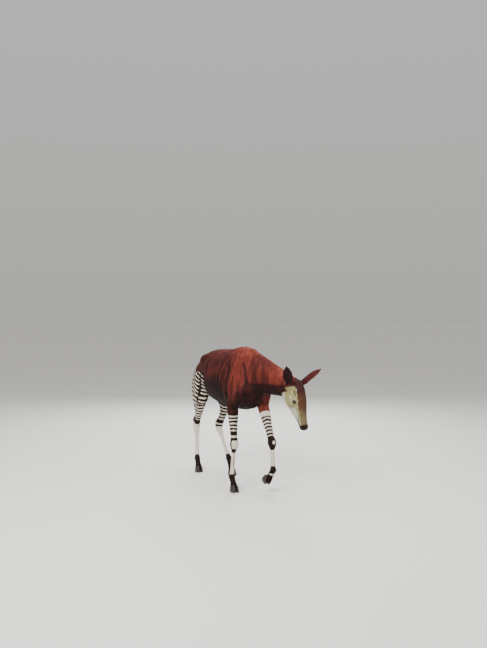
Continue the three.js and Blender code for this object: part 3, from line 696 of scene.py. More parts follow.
def sample_body(body: Body, low: Array, high: Array, cell: float) -> Array:
    """Signed distances on a grid, fine near the surface and only roughly right far from it.

    Args:
        body: The body.
        low: The grid's lowest corner.
        high: Its highest corner.
        cell: Its spacing.

    Returns:
        The distances.
    """
    block = 4
    counts = np.ceil((high - low) / cell / block).astype(int)
    corners = np.stack(np.meshgrid(*[np.arange(n) for n in counts], indexing="ij"), -1).reshape(-1, 3)
    middles = low + (corners + 0.5) * block * cell
    rough = body.distance(middles)
    values = np.repeat(np.repeat(np.repeat(rough.reshape(counts), block, 0), block, 1), block, 2)
    close = corners[np.abs(rough) < block * cell * 1.6]
    inner = np.array(list(np.ndindex(block, block, block)))
    fine = (close[:, None, :] * block + inner[None]).reshape(-1, 3)
    values[tuple(fine.T)] = body.distance(low + fine * cell)
    return values


def make_object(name: str, points: Array, faces: list | Array) -> Piece:
    """A mesh object of points in metres and faces, linked to the scene.

    Args:
        name: Its name.
        points: Its places.
        faces: The corners of its faces, which all have as many.

    Returns:
        The object.
    """
    mesh = bpy.data.meshes.new(name)
    faces = np.asarray(faces)
    sides = faces.shape[1]
    mesh.vertices.add(len(points))
    mesh.vertices.foreach_set("co", np.asarray(points, np.float32).ravel())
    mesh.loops.add(faces.size)
    mesh.loops.foreach_set("vertex_index", faces.astype(np.int32).ravel())
    mesh.polygons.add(len(faces))
    mesh.polygons.foreach_set("loop_start", np.arange(0, faces.size, sides, dtype=np.int32))
    mesh.update(calc_edges=True)
    piece = bpy.data.objects.new(name, mesh)
    bpy.context.scene.collection.objects.link(piece)
    return piece


def read_rows(table: bpy.types.bpy_prop_collection, key: str, width: int, kind: type = np.float32) -> Array:
    """Reads one of a mesh's tables.

    Args:
        table: The table, such as the mesh's vertices.
        key: What is read of each entry.
        width: How many numbers an entry has.
        kind: The kind of number.

    Returns:
        The entries, one a row.
    """
    flat = np.zeros(len(table) * width, kind)
    table.foreach_get(key, flat)
    return flat.reshape(-1, width)


def places_of(piece: Piece) -> Array:
    """The places of a mesh's vertices, in its own units."""
    return read_rows(piece.data.vertices, "co", 3).astype(float)


def set_places(piece: Piece, points: Array) -> None:
    """Moves a mesh's vertices."""
    piece.data.vertices.foreach_set("co", np.asarray(points, np.float32).ravel())
    piece.data.update()


def normals_of(piece: Piece) -> Array:
    """The smooth normals at a mesh's vertices."""
    return read_rows(piece.data.vertex_normals, "vector", 3).astype(float)


def triangles_of(piece: Piece) -> Array:
    """The corners of a mesh's triangles."""
    piece.data.calc_loop_triangles()
    return read_rows(piece.data.loop_triangles, "vertices", 3, np.int32)


def store(piece: Piece, name: str, values: Array) -> None:
    """Keeps a number or a vector at each vertex, for the piece's material to read.

    Args:
        piece: The piece.
        name: What the material calls it.
        values: The numbers or vectors, one for each vertex.
    """
    kind, key = ("FLOAT", "value") if values.ndim == 1 else ("FLOAT_VECTOR", "vector")
    layer = piece.data.attributes.new(name, kind, "POINT")
    layer.data.foreach_set(key, values.astype(np.float32).ravel())


def select_only(piece: Piece) -> None:
    """Deselects everything and makes one object selected and active.

    Args:
        piece: The object.
    """
    bpy.ops.object.select_all(action="DESELECT")
    piece.select_set(True)
    bpy.context.view_layer.objects.active = piece


def edit_faces(piece: Piece, chosen: Array, work: Callable[[], None]) -> None:
    """Runs edit-mode work on chosen faces of a mesh.

    Args:
        piece: The piece.
        chosen: For each face, whether it is worked on.
        work: The operators to run.
    """
    select_only(piece)
    bpy.ops.object.mode_set(mode="EDIT")
    bpy.ops.mesh.select_mode(type="FACE")
    bpy.ops.mesh.select_all(action="DESELECT")
    bpy.ops.object.mode_set(mode="OBJECT")
    piece.data.polygons.foreach_set("select", chosen.astype(bool))
    bpy.ops.object.mode_set(mode="EDIT")
    work()
    bpy.ops.object.mode_set(mode="OBJECT")


# Eyes


@dataclass(frozen=True)
class Eye:
    """One eyeball, and the lids that the skin lays over it."""

    side: int
    half_length: float = 20.5
    upper: float = 12.0
    lower: float = 9.5
    lid: float = 2.3
    sunk: float = 3.0
    cornea: float = 1.3
    fit: float = 0.99

    @property
    def centre(self) -> Array:
        """The middle of the eyeball."""
        return on_head(EYE_DOWN, EYE_OUT, self.side * EYE_LEFT)

    @property
    def axes(self) -> Array:
        """The way the eye looks, the long way of its opening towards the nose, and the way up across it.

        Returns:
            The three directions, one a row.
        """
        look = unit(self.side * 0.90 * HEAD_LEFT + 0.38 * FACEWARD + 0.10 * NOSEWARD)
        long = square_to(0.86 * NOSEWARD + 0.5 * FACEWARD, look)
        over = np.cross(look, long)
        return np.stack([look, long, over * np.sign(over @ (FACEWARD - NOSEWARD))])

    def opening(self, points: Array) -> tuple[Array, Array]:
        """Where points lie against the opening between the lids.

        Args:
            points: Places near the eye.

        Returns:
            A number that is below one inside the opening and grows away from it, and the distance to the
            eye's middle.
        """
        offset = points - self.centre
        away = norm(offset, axis=1)
        local = (offset / np.maximum(away, 1e-6)[:, None]) @ self.axes.T
        angle = np.arccos(np.clip(local[:, 0], -1, 1))
        scale = EYE_RADIUS * angle / np.maximum(np.sin(angle), 1e-6)
        long, over = local[:, 1] * scale, local[:, 2] * scale
        height = np.where(over > 0, self.upper, self.lower)
        share = (long / self.half_length) ** 2 + np.abs(over) / height
        return np.where(angle < 1.75, share, 9.0), away

    def shape_lids(self, points: Array) -> Array:
        """Moves skin round the eye, over the ball as lids and behind its front in the opening.

        Args:
            points: Places, one a row.

        Returns:
            The places, moved where they are near the eye.
        """
        share, away = self.opening(points)
        near = (share < 4) & (away < 70)
        lid = EYE_RADIUS + self.lid - 1.1 * band(share, 1.55, 1.85, 0.12) + 0.8 * band(share, 1.95, 2.3, 0.15)
        outer = lid + (away - lid) * ramp(share, 1.25, 2.7)
        inner = EYE_RADIUS - self.sunk
        radius = inner + (outer - inner) * ramp(share, 0.9, 1.02)
        moved = self.centre + unit(points - self.centre) * radius[:, None]
        return np.where(near[:, None], moved, points)

    def build(self, shift: Array) -> Piece:
        """Makes the eyeball with its raised cornea.

        Args:
            shift: The way from its own places to the frame's.

        Returns:
            The eyeball.
        """
        name = "eyeball_left" if self.side > 0 else "eyeball_right"
        select_only(bpy.context.scene.camera)
        bpy.ops.mesh.primitive_uv_sphere_add(segments=48, ring_count=32, radius=EYE_RADIUS)
        piece = bpy.context.object
        piece.name = name
        local = places_of(piece)
        rise = ramp(local[:, 2], EYE_RADIUS * 0.80, EYE_RADIUS * 0.95)
        local[:, 2] += self.cornea * rise
        look, long, _ = self.axes
        turned = local[:, :1] * long + local[:, 1:2] * np.cross(look, long) + local[:, 2:] * look
        store(piece, "gaze", local * METRES)
        set_places(piece, (self.centre + turned * self.fit + shift) * METRES)
        select_only(piece)
        bpy.ops.object.shade_smooth()
        return piece


# Ears


@dataclass(frozen=True)
class Ear:
    """A cupped leaf that grows out of the side of the head."""

    side: int
    tip: Array
    open: Array
    pink: float
    fringe: tuple
    rows: int = 46
    columns: int = 26

    # How far the middle of the cup stands off the ear's line, as a share of the cup's radius
    STAND = 0.7
    # Share of the length, half width as a share of the widest, and half the angle of the cup in degrees
    STATIONS = np.array(
        [
            (0, 0.74, 128), (0.12, 0.86, 112), (0.3, 0.98, 84), (0.48, 1, 66), (0.66, 0.9, 54),
            (0.82, 0.66, 46), (0.93, 0.4, 40), (1, 0.14, 36),
        ]
    )

    @property
    def root(self) -> Array:
        """Where the ear starts inside the head."""
        return on_head(EAR_DOWN, EAR_OUT, self.side * EAR_LEFT)

    @property
    def axes(self) -> Array:
        """The ear's length, the way across it and the way in which it opens.

        Returns:
            The three directions, one a row.
        """
        axis = unit(self.tip)
        opening = square_to(self.open, axis)
        return np.stack([axis, np.cross(axis, opening), opening])

    def roll(self, share: Array) -> tuple[Array, Array]:
        """The radius of the cup and half the angle that it spans, at shares of its length.

        Args:
            share: Shares of the ear's length.

        Returns:
            The radii and the angles there.
        """
        fine = 200
        widths = smooth_column(self.STATIONS[:, 0], self.STATIONS[:, 1] * EAR_HALF_WIDTH, fine)
        angles = smooth_column(self.STATIONS[:, 0], np.radians(self.STATIONS[:, 2]), fine)
        steps = np.linspace(0, 1, fine + 1)
        half = np.interp(share, steps, angles)
        return np.interp(share, steps, widths) / half, half

    def locate(self, points: Array) -> tuple[Array, Array, Array]:
        """Where points lie on the ear.

        Args:
            points: Places, one a row.

        Returns:
            The share of its length, the share of the way from its middle line to its edge, and the depth
            inside its outer face, which is large where a point isn't on the ear.
        """
        local = (points - self.root) @ self.axes.T
        share = np.clip(local[:, 0] / EAR_LENGTH, 0, 1)
        radius, half = self.roll(share)
        lifted = local[:, 2] - radius * self.STAND
        angle = np.arctan2(local[:, 1], -lifted)
        depth = radius - np.hypot(local[:, 1], lifted)
        off = (np.abs(angle) > half * 1.12) | (local[:, 0] < -6) | (local[:, 0] > EAR_LENGTH + 8)
        return share, angle / half, np.where(off | (np.abs(depth) > 12), 99, depth)

    def build(self, shift: Array, outer: float = 1.2, inner: float = 5.2) -> Piece:
        """Makes the closed shell of the ear, which starts well inside the head.

        Args:
            shift: The way from its own places to the frame's.
            outer: How deep the outer face lies inside the coat.
            inner: How deep the inner face lies at the middle line.

        Returns:
            The shell.
        """
        axis, across, opening = self.axes
        shares = np.linspace(-0.03, 1, self.rows + 1)
        turns = np.linspace(-1, 1, self.columns + 1)
        radius, half = self.roll(np.clip(shares, 0, 1))
        rings = []
        for share, r, h in zip(shares, radius, half):
            thick = min(inner, r * 0.45)
            round_edge = np.sqrt(np.maximum(1 - np.abs(turns) ** 6, 0))
            middle = (outer + thick) / 2
            for face, order in ((-1, turns), (1, turns[::-1])):
                depth = middle + face * (thick - outer) / 2 * round_edge * (1 - 0.4 * order**2)
                angle = order * h * (1 - 1.0 / EAR_HALF_WIDTH)
                place = (
                    self.root
                    + (EAR_LENGTH * share - 12 * order[:, None] ** 2 * max(share, 0)) * axis
                    + (np.sin(angle) * (r - depth))[:, None] * across
                    + (r * self.STAND - np.cos(angle) * (r - depth))[:, None] * opening
                )
                rings.append(place if face < 0 else place[1:-1])
        count = 2 * len(turns) - 2
        points = np.concatenate(rings)
        n = np.arange(count)
        after = (n + 1) % count
        base = (np.arange(len(shares) - 1) * count)[:, None]
        quads = np.stack([base + n, base + after, base + after + count, base + n + count], -1).reshape(-1, 4)
        name = "ear_left" if self.side > 0 else "ear_right"
        piece = make_object(name, (points + shift) * METRES, quads)
        select_only(piece)
        bpy.ops.object.mode_set(mode="EDIT")
        bpy.ops.mesh.select_all(action="SELECT")
        bpy.ops.mesh.remove_doubles(threshold=0.00005)
        bpy.ops.mesh.fill_holes(sides=0)
        bpy.ops.mesh.normals_make_consistent(inside=False)
        bpy.ops.object.mode_set(mode="OBJECT")
        return piece


# The right ear's inside shows little pink, as painted shade in its hollow, and the left ear's shows it fully
EARS = [
    Ear(side=1, tip=at(0.42, 0.77, 0.58), open=at(0.8, -0.1, -0.55), pink=1.0, fringe=(0.3, 0.92)),
    Ear(side=-1, tip=at(0.54, -0.42, 0.71), open=at(0.75, -0.45, -0.35), pink=0.2, fringe=(0.12, 0.4)),
]
EYES = [Eye(1), Eye(-1)]


# Skin


@dataclass(frozen=True)
class Fold:
    """A soft groove in the skin, or a ridge where its height is above zero, along a line of places."""

    line: tuple
    width: float
    height: float

    def samples(self, body: Body) -> Array:
        """Close places along the line, laid on the body.

        Args:
            body: The body.

        Returns:
            The places, half the fold's width apart.
        """
        places = np.array(self.line, float)
        steps = np.concatenate([[0], np.cumsum(norm(np.diff(places, axis=0), axis=1))])
        fine = np.linspace(0, steps[-1], int(steps[-1] / self.width * 2) + 3)
        line = np.stack([np.interp(fine, steps, column) for column in places.T], 1)
        return body.settle(line, np.full(len(line), 2.0), 4)

    def lift(self, points: Array, body: Body) -> tuple[Array, Array]:
        """Which points the fold moves, and how far out along their normals.

        Args:
            points: Places, one a row.
            body: The body.

        Returns:
            The numbers of those points, and how far they move.
        """
        line = self.samples(body)
        reach = 2.5 * self.width
        near = np.flatnonzero(((points > line.min(0) - reach) & (points < line.max(0) + reach)).all(1))
        away = norm(points[near, None] - line[None], axis=2)
        share = away.argmin(1) / (len(line) - 1)
        fade = ramp(share, -0.01, 0.18) * ramp(share, 1.01, 0.82)
        return near, self.height * np.exp(-((away.min(1) / self.width) ** 2)) * fade


# Each fold's width, how far it stands out of the skin, and its places as forward, away from the middle and up
BODY_FOLDS = [
    # Behind the shoulder blade, before it, along its spine, and behind the upper arm
    (24, -9, (-112, 160, 1360), (-150, 200, 1130), (-128, 190, 950)),
    (20, -8, (75, 100, 1400), (150, 120, 1240), (175, 110, 1110)),
    (26, 5, (-20, 150, 1400), (60, 170, 1180), (90, 170, 1080)),
    (18, -6, (-20, 170, 1260), (-50, 190, 1100), (-20, 190, 980)),
    # The flank, the front edge of the thigh and the groove down the thigh
    (26, -10, (-690, 225, 1250), (-735, 215, 1080), (-830, 180, 925)),
    (15, -7, (-815, 190, 1270), (-835, 200, 1080), (-880, 200, 880)),
    (20, -5, (-1010, 180, 1230), (-1050, 190, 1040), (-1040, 185, 880)),
    # The groove along the throat, the armpit, and above and below the point of the hip
    (18, -6, (130, 115, 1170), (330, 120, 1150), (470, 120, 1120)),
    (12, -5, (-100, 175, 910), (-70, 190, 935), (-15, 190, 925)),
    (24, 2.5, (-800, 150, 1400), (-860, 165, 1340), (-960, 160, 1300)),
    (20, -3, (-770, 150, 1360), (-850, 190, 1290), (-940, 180, 1240)),
]
RIBS = range(-620, -200, 62)
BODY_FOLDS += [(14, -3.6, (f + 25, 200, 1350), (f, 235, 1140), (f + 35, 200, 960)) for f in RIBS]
THROAT_FOLDS = [
    (9, -3, (f, 130, u), (f + 5, 190, u - 30), (f - 5, 250, u)) for f, u in ((505, 1035), (478, 1045))
]
# The same for the face, with places down the nose, out of the forehead and away from the middle
FACE_FOLDS = [
    # The mouth, the upper lip, the lower lip, the nostril and its rim
    (3.2, -4.5, (368, -30, 46), (410, -22, 42), (452, -12, 36), (478, -8, 0)),
    (6, 2.2, (366, -21, 46), (410, -12, 42), (452, -2, 36), (480, 3, 0)),
    (6, 1.6, (372, -40, 44), (410, -31, 40), (448, -22, 34), (472, -20, 0)),
    (4.2, -7, (424, 18, 40), (436, 20, 38), (449, 12, 34)),
    (5, 2.4, (420, 25, 38), (436, 30, 33), (452, 24, 28)),
    # The crest before and behind the eye, the front edge of the cheek muscle and the hollow under the crest
    (11, 3.2, (212, -40, 74), (268, -30, 60), (340, -20, 50)),
    (11, 3, (205, -50, 76), (150, -52, 82), (96, -52, 82)),
    (12, -4, (236, -62, 60), (244, -90, 52), (226, -118, 40)),
    (9, -2.6, (222, -88, 55), (300, -62, 48), (360, -46, 44)),
    # The temple, the brow, the side of the bridge, the back edge of the jaw and the whorl on the forehead
    (13, -4, (128, 0, 78), (104, -14, 80), (70, -22, 78)),
    (7, 2.4, (214, 8, 66), (196, 24, 66), (164, 26, 68)),
    (10, -2.4, (240, 40, 34), (320, 34, 30), (400, 28, 26)),
    (12, -4, (36, -84, 60), (76, -120, 52), (100, -138, 40)),
    (18, 2.5, (58, 30, 50), (90, 44, 46)),
]
LIP_CLEFT = (3.5, -2.6, (452, 30, 0), (476, 12, 0))
TENDON_BACK = 9
TENDON_SIDE = 20


def body_folds() -> list[Fold]:
    """Muscle edges, ribs, flank and throat folds, and the hollows beside the tendons.

    Returns:
        The folds of both sides, of the throat and of the legs.
    """
    folds = [
        Fold(tuple(at(f, side * out, u) for f, out, u in places), width, height)
        for side in (-1, 1)
        for width, height, *places in BODY_FOLDS
    ]
    folds += [
        Fold(tuple(at(*place) for place in places), width, height) for width, height, *places in THROAT_FOLDS
    ]
    for leg in LEGS:
        for side in (-1, 1):
            offset = at(-TENDON_BACK, side * TENDON_SIDE, 0)
            ends = [leg.joint + (leg.fetlock - leg.joint) * share + offset for share in (0.2, 0.88)]
            folds.append(Fold(tuple(ends), 5, -2.4))
    return folds


def face_folds() -> list[Fold]:
    """The mouth, lips and nostrils, the crest under the eye, the cheek muscle, brow and chin.

    Returns:
        The folds of both sides, and the cleft of the upper lip.
    """
    folds = [
        Fold(tuple(on_head(down, out, side * left) for down, out, left in places), width, height)
        for side in (-1, 1)
        for width, height, *places in FACE_FOLDS
    ]
    width, height, *places = LIP_CLEFT
    folds.append(Fold(tuple(on_head(*place) for place in places), width, height))
    return folds


CELL = 11.2
GRID_LOW = np.array([-350.0, -835.0, 5.0])
GRID_HIGH = np.array([450.0, 1380.0, 1565.0])
SEAM_REACH = 60
SEAM_HALF_WIDTH = 4.5
DEPTHS = {Region.TRUNK: 5.0, Region.NECK: 5.0, Region.HEAD: 2.0, Region.TAIL: 5.0}
LEG_DEPTH = 4.4


def coat_depth(points: Array, shares: Array) -> Array:
    """How deep the skin lies inside the tips of the coat.

    Args:
        points: Places, one a row.
        shares: Their shares of each region.

    Returns:
        The depths.
    """
    table = np.array([DEPTHS.get(region, LEG_DEPTH) for region in Region])
    depth = shares @ table
    legs = shares[:, LEG_COLUMNS].sum(1)
    depth -= legs * ramp(points[:, 2], 820, 560) * (LEG_DEPTH - 1.9)
    return depth + shares[:, Region.TAIL] * ramp(points[:, 2], 1130, 1060) * 4.5


@dataclass
class Skin:
    """The one skin of the whole animal."""

    body: Body
    shift: Array
    piece: Piece = field(init=False)
    points: Array = field(init=False)
    normals: Array = field(init=False)
    shares: Array = field(init=False)
    crease_shade: Array = field(init=False)

    def read(self) -> None:
        """Takes the mesh's places and normals."""
        self.points = places_of(self.piece) / METRES - self.shift
        self.normals = normals_of(self.piece)

    def write(self) -> None:
        """Puts the places into the mesh."""
        set_places(self.piece, (self.points + self.shift) * METRES)

    def middles(self) -> Array:
        """The middles of the mesh's faces."""
        return read_rows(self.piece.data.polygons, "center", 3) / METRES - self.shift

    def lay(self, passes: int) -> None:
        """Evens the net out and lays it at the coat's depth.

        Args:
            passes: How often the net moves towards that depth.
        """
        self.read()
        a, b = read_rows(self.piece.data.edges, "vertices", 2, np.int32).T
        count = np.bincount(np.concatenate([a, b]), minlength=len(self.points))[:, None]
        for _ in range(2):
            total = np.zeros_like(self.points)
            for n in range(3):
                total[:, n] += np.bincount(a, self.points[b, n], len(count))
                total[:, n] += np.bincount(b, self.points[a, n], len(count))
            self.points += 0.5 * (total / count - self.points)
        depth = coat_depth(self.points, self.body.shares(self.points))
        self.points = self.body.settle(self.points, depth, passes)
        self.write()

    def refine(self, chosen: Callable[[Array], Array]) -> None:
        """Quarters the faces whose middles are chosen."""
        edit_faces(self.piece, chosen(self.middles()), lambda: bpy.ops.mesh.subdivide(number_cuts=1))

    def build(self) -> Piece:
        """Makes the skin.

        Returns:
            The piece, shaped but not yet marked.
        """
        values = sample_body(self.body, GRID_LOW, GRID_HIGH, CELL)
        points, quads = net_of(values, CELL, GRID_LOW)
        self.piece = make_object("okapi_skin", (points + self.shift) * METRES, quads)
        self.lay(3)
        for chosen, passes in ((self.slender, 2), (self.featured, 1), (self.finest, 1)):
            self.refine(chosen)
            self.lay(passes)
        log.info("skin laid: %d faces", len(self.piece.data.polygons))
        for ear in EARS:
            self.join_ear(ear)
        self.read()
        self.crease_shade = np.zeros(len(self.points))
        for fold in body_folds() + face_folds():
            near, lift = fold.lift(self.points, self.body)
            self.points[near] += self.normals[near] * lift[:, None]
            # How deep each crease lies, kept for the painted shade in the creases
            self.crease_shade[near] = np.maximum(self.crease_shade[near], -lift / 8)
        for eye in EYES:
            self.points = eye.shape_lids(self.points)
        self.write()
        select_only(self.piece)
        bpy.ops.object.shade_smooth()
        self.read()
        self.shares = self.body.shares(self.points)
        return self.piece

    @staticmethod
    def slender(middles: Array) -> Array:
        """The head, the tail and the lower legs."""
        head = in_head_box(middles, (-45, -185, -130), (np.inf, 185, 130))
        return head | (middles[:, 2] < 640) | (middles[:, 1] > 1205)

    @staticmethod
    def featured(middles: Array) -> Array:
        """The eyes and the muzzle."""
        muzzle = in_head_box(middles, (350, -120, -90), (np.inf, 120, 90))
        return (gap(middles, [eye.centre for eye in EYES]) < 60) | muzzle

    @staticmethod
    def finest(middles: Array) -> Array:
        """The openings of the eyes and the nostrils."""
        nostrils = [on_head(438, 18, side * 37) for side in (-1, 1)]
        return (gap(middles, [eye.centre for eye in EYES]) < 33) | (gap(middles, nostrils) < 22)

    def join_ear(self, ear: Ear) -> None:
        """Unites the shell of an ear with the head and smooths the seam.

        Args:
            ear: The ear.
        """
        shell = ear.build(self.shift)
        select_only(self.piece)
        union = self.piece.modifiers.new("ear", "BOOLEAN")
        union.operation = "UNION"
        union.solver = "EXACT"
        union.object = shell
        bpy.ops.object.modifier_apply(modifier=union.name)
        bpy.data.objects.remove(shell)
        middles = self.middles()
        close = np.flatnonzero(norm(middles - ear.root, axis=1) < SEAM_REACH)
        seam = np.zeros(len(middles))
        seam[close] = np.abs(self.body.distance(middles[close]) + DEPTHS[Region.HEAD]) < SEAM_HALF_WIDTH
        seam[ear.locate(middles)[2] > 90] = 0
        edit_faces(self.piece, seam, lambda: bpy.ops.mesh.vertices_smooth(factor=0.5, repeat=6))


# Markings


# From one stripe of a leg to the next
FORE_PITCH = 38.0
HIND_PITCH = 43.0
# How far out of the forehead the pale cheek ends, at places down the nose
CHEEK_EDGE = np.array([(-30, 10), (40, 20), (105, 32), (180, 28), (230, 18), (345, 4), (420, -4), (480, -8)])
# How red the coat is at places along the body, with painted light in it: the brighter red over the shoulder
# and the neck is painted highlight, and the duller red behind the shoulder and before the thigh is painted
# shade
REDNESS_AND_LIGHT = np.array(
    [
        (-1200, 0.36), (-1000, 0.40), (-880, 0.28), (-760, 0.14), (-660, 0.18), (-530, 0.28),
        (-400, 0.20), (-290, 0.15), (-210, 0.18), (-155, 0.34), (-90, 0.52), (-20, 0.70),
        (100, 0.76), (165, 0.56), (230, 0.46), (290, 0.44), (365, 0.66), (450, 0.86), (560, 0.80),
    ]
)
MARKS = (
    "phase striped pale dark redness shade head ridge bridge cheek jaw glow mask ear inside pink rim bare"
).split()


@dataclass
class Markings:
    """What the coat's finish draws its colours from: named numbers for each place on the skin."""

    skin: Skin
    table: dict[str, Array] = field(default_factory=dict)

    def collect(self) -> dict[str, Array]:
        """Works out every mark.

        Returns:
            The marks, and the places themselves for the finish's patterns.
        """
        self.table = {name: np.zeros(len(self.skin.points)) for name in MARKS}
        self.colour_body()
        for leg in LEGS:
            self.stripe(leg)
        self.colour_face()
        for ear in EARS:
            self.colour_ear(ear)
        return {"root": self.skin.points * METRES, **self.table}

    def lift(self, name: str, values: Array, near: Array | slice = slice(None)) -> None:
        """Raises a mark to new values where those are higher."""
        self.table[name][near] = np.maximum(self.table[name][near], values)

    def colour_body(self) -> None:
        """The coat's red on the trunk, the neck and the upper legs, with painted light in it: brighter
        towards the top, along the back and in columns along the body. Painted shade under the body, round the
        lower neck and chest, on the flank, round the elbows and in the creases, and the dark end of the tail.
        """
        points, normals, shares, table = self.skin.points, self.skin.normals, self.skin.shares, self.table
        forward, left, up = spread(points)
        # Painted shade on surfaces that face down: it darkens them and takes red out of them
        under = ramp(-normals[:, 2], -0.2, 0.65)
        # Painted light: the red is brighter towards the top of the body
        red_and_light = np.interp(forward, *REDNESS_AND_LIGHT.T) * (0.2 + 0.8 * ramp(up, 930, 1240)) * (1 - 0.6 * under)
        # Painted highlight along the top of the back
        red_and_light += 0.22 * ramp(up, 1400, 1490) * ramp(forward, -1000, -700)
        foreleg = 0.95 * ramp(left, 50, 90) * band(forward, 40, 330, 40) * band(up, 800, 1090, 40)
        red_and_light = np.maximum(red_and_light, foreleg)
        # Painted shade round the lower neck and the chest, on the flank, round the elbows and in the creases
        collar = ramp(forward, 60, 240) * ramp(up, 1182, 1152)
        chest = ramp(forward, 30, 120) * ramp(up, 1140, 1040) * ramp(left, 80, 36)
        flank = band(forward, -780, -250, 70) * ramp(up, 1300, 1040)
        elbow = band(forward, -170, 70, 60) * ramp(up, 1080, 940)
        neck = 0.85 * np.maximum(collar, 0.8 * chest)
        shade = np.maximum(neck, 0.75 * under) + 0.7 * flank + 0.4 * elbow + 0.9 * self.skin.crease_shade
        flesh = 1 - shares[:, Region.HEAD]
        table["redness"] = np.clip(red_and_light, 0, 1) * flesh
        table["shade"] = np.clip(shade, 0, 1) * flesh
        table["dark"] = shares[:, Region.TAIL] * ramp(up, 1120, 1060)

    def stripe(self, leg: Leg) -> None:
        """The stripes, the stockings and the solid bands of one leg.

        Args:
            leg: The leg.
        """
        points, normals, shares, table = self.skin.points, self.skin.normals, self.skin.shares, self.table
        forward, left, up = spread(points)
        own = shares[:, leg.region]
        hind = leg.region not in FORE
        if hind:
            limit = np.interp(up, [860, 920, 1050, 1300], [-640, -760, -670, -690])
            top = np.interp(forward, [-1150, -994, -660], [1275, 1245, 1195])
            zone = ramp(limit - forward, -40, 80) * ramp(leg.side * left, -8, 14)
            zone *= ramp(up, top + 20, top - 30)
            own = np.maximum(own * ramp(up, 1000, 860), zone * ramp(up, 700, 760))
            own = own * (1 - shares[:, Region.TAIL])
        else:
            own = ramp(own, 0.35, 0.6)
        near = np.flatnonzero(own > 0.01)
        along, ahead = leg.locate(points[near])
        weight = own[near]
        low, high = leg.stripes
        fade = 40 if hind else 12
        ring = ramp(along, low - 12, low + 12) * ramp(along, high + fade, high - fade)
        if hind:
            groove = np.interp(up[near], [860, 1050, 1260], [-875, -838, -812])
            parting = np.exp(-(((forward[near] - groove) / 15) ** 2)) * ramp(up[near], 790, 860)
            ring *= (1 - 0.5 * parting) * (1 - 0.16 * ramp(up[near], 900, 1150))
            ring *= np.maximum(ramp(leg.side * normals[near, 0], -0.8, -0.2), ramp(up[near], 900, 780))
        strength = weight * ring
        phase = table["phase"][near]
        better = (strength > table["striped"][near]) | (phase == 0)
        table["phase"][near] = np.where(better, along / (HIND_PITCH if hind else FORE_PITCH), phase)
        self.lift("striped", strength, near)
        self.lift("dark", weight * ramp(along, high + fade, high - fade), near)
        for start, end, least, most, tone in leg.marks:
            if tone == Tone.PALE:
                solid = weight * band(along, start, end, 9) * band(ahead, least, most, 0.16)
                self.lift("pale", solid, near)
            else:
                taper = band(along, start, end, 45)
                solid = weight * ramp(ahead, least, most) * taper
                table["pale"][near] = np.minimum(table["pale"][near], 1 - 0.8 * solid)

    def colour_face(self) -> None:
        """Forehead, bridge, cheeks, the streaks and the dark marks round the eyes, the painted shade at the
        temple, and the muzzle.
        """
        points, shares, table = self.skin.points, self.skin.shares, self.table
        down, out, _ = ((points - POLL) @ HEAD_AXES.T).T
        own = shares[:, Region.HEAD]
        head = ramp(own, 0.35, 0.62)
        edge = np.interp(down, *CHEEK_EDGE.T) + 3 * np.sin(down / 9) + 2.5 * np.sin(down / 23)
        heights = np.array([row[0] for row in HEAD_STATIONS]) * HEAD_LENGTH
        jaw = np.interp(down, heights, [-row[3] for row in HEAD_STATIONS])
        share = np.minimum(*[eye.opening(points)[0] for eye in EYES])
        cheek = ramp(own, 0.16, 0.42) * ramp(down, -4, 62) * ramp(edge - out, -16, 20)
        whites = [
            0.95 * ramp(out - jaw, 84, 10) * ramp(down, 20, 110),
            0.85 * ramp(down, 190, 280) * ramp(edge - out, 10, 44),
            0.5 * band(down, 104, 200, 34) * band(out, -70, -22, 22),
        ]
        streaks = [
            0.85 * band(down, 46, 122, 22) * band(edge - out, -2, 4, 4),
            0.8 * band(down, 206, 320, 26) * band(edge - out, 5, 12, 5),
            0.45 * band(down, 310, 410, 26) * band(edge - out, 10, 20, 8),
            0.7 * band(share, 2.0, 2.5, 0.4) * ramp(edge - out, 6, 20),
        ]
        # Painted shade in the hollow of the temple, drawn as a dark slit
        temple_shade = 1.2 * band(down, 62, 130, 16) * band(edge - out, 13, 24, 6)
        brow = 0.6 * band(down, 150, 214, 20) * band(edge - out, -4, 5, 6)
        below = 0.85 * band(down, 208, 256, 26) * band(out + 0.3 * (down - 238), -48, -34, 14)
        below = below + 0.45 * band(down, 136, 172, 24) * band(out, -66, -50, 16)
        muzzle = ramp(down, 422, 448) * ramp(np.abs(out - 4), 60, 30)
        mouth = band(out, -38, -18, 6) * ramp(down, 326, 372) + ramp(down, 400, 438)
        lip = band(down, 356, 430, 10) * band(out, -14, -3, 4)
        dim = temple_shade + brow + below + muzzle + 0.8 * mouth + 0.85 * ramp(share, 2.05, 1.3)
        table["head"] = head
        table["ridge"] = head * band(down, 120, 300, 60)
        table["bridge"] = head * ramp(down, 150, 400)
        table["cheek"] = cheek
        table["jaw"] = cheek * np.clip(np.max(whites, axis=0), 0, 1)
        table["glow"] = head * np.clip(np.max(streaks, axis=0) + 0.7 * lip, 0, 1)
        table["glow"] *= 1 - np.clip(temple_shade + below + muzzle, 0, 1)
        table["mask"] = head * np.clip(dim, 0, 1) * (1 - 0.9 * lip)
        nose = head * ramp(down, 426, 448) * ramp(np.abs(out - 8), 40, 22)
        table["bare"] = np.maximum(ramp(share, 1.35, 1.12), nose)

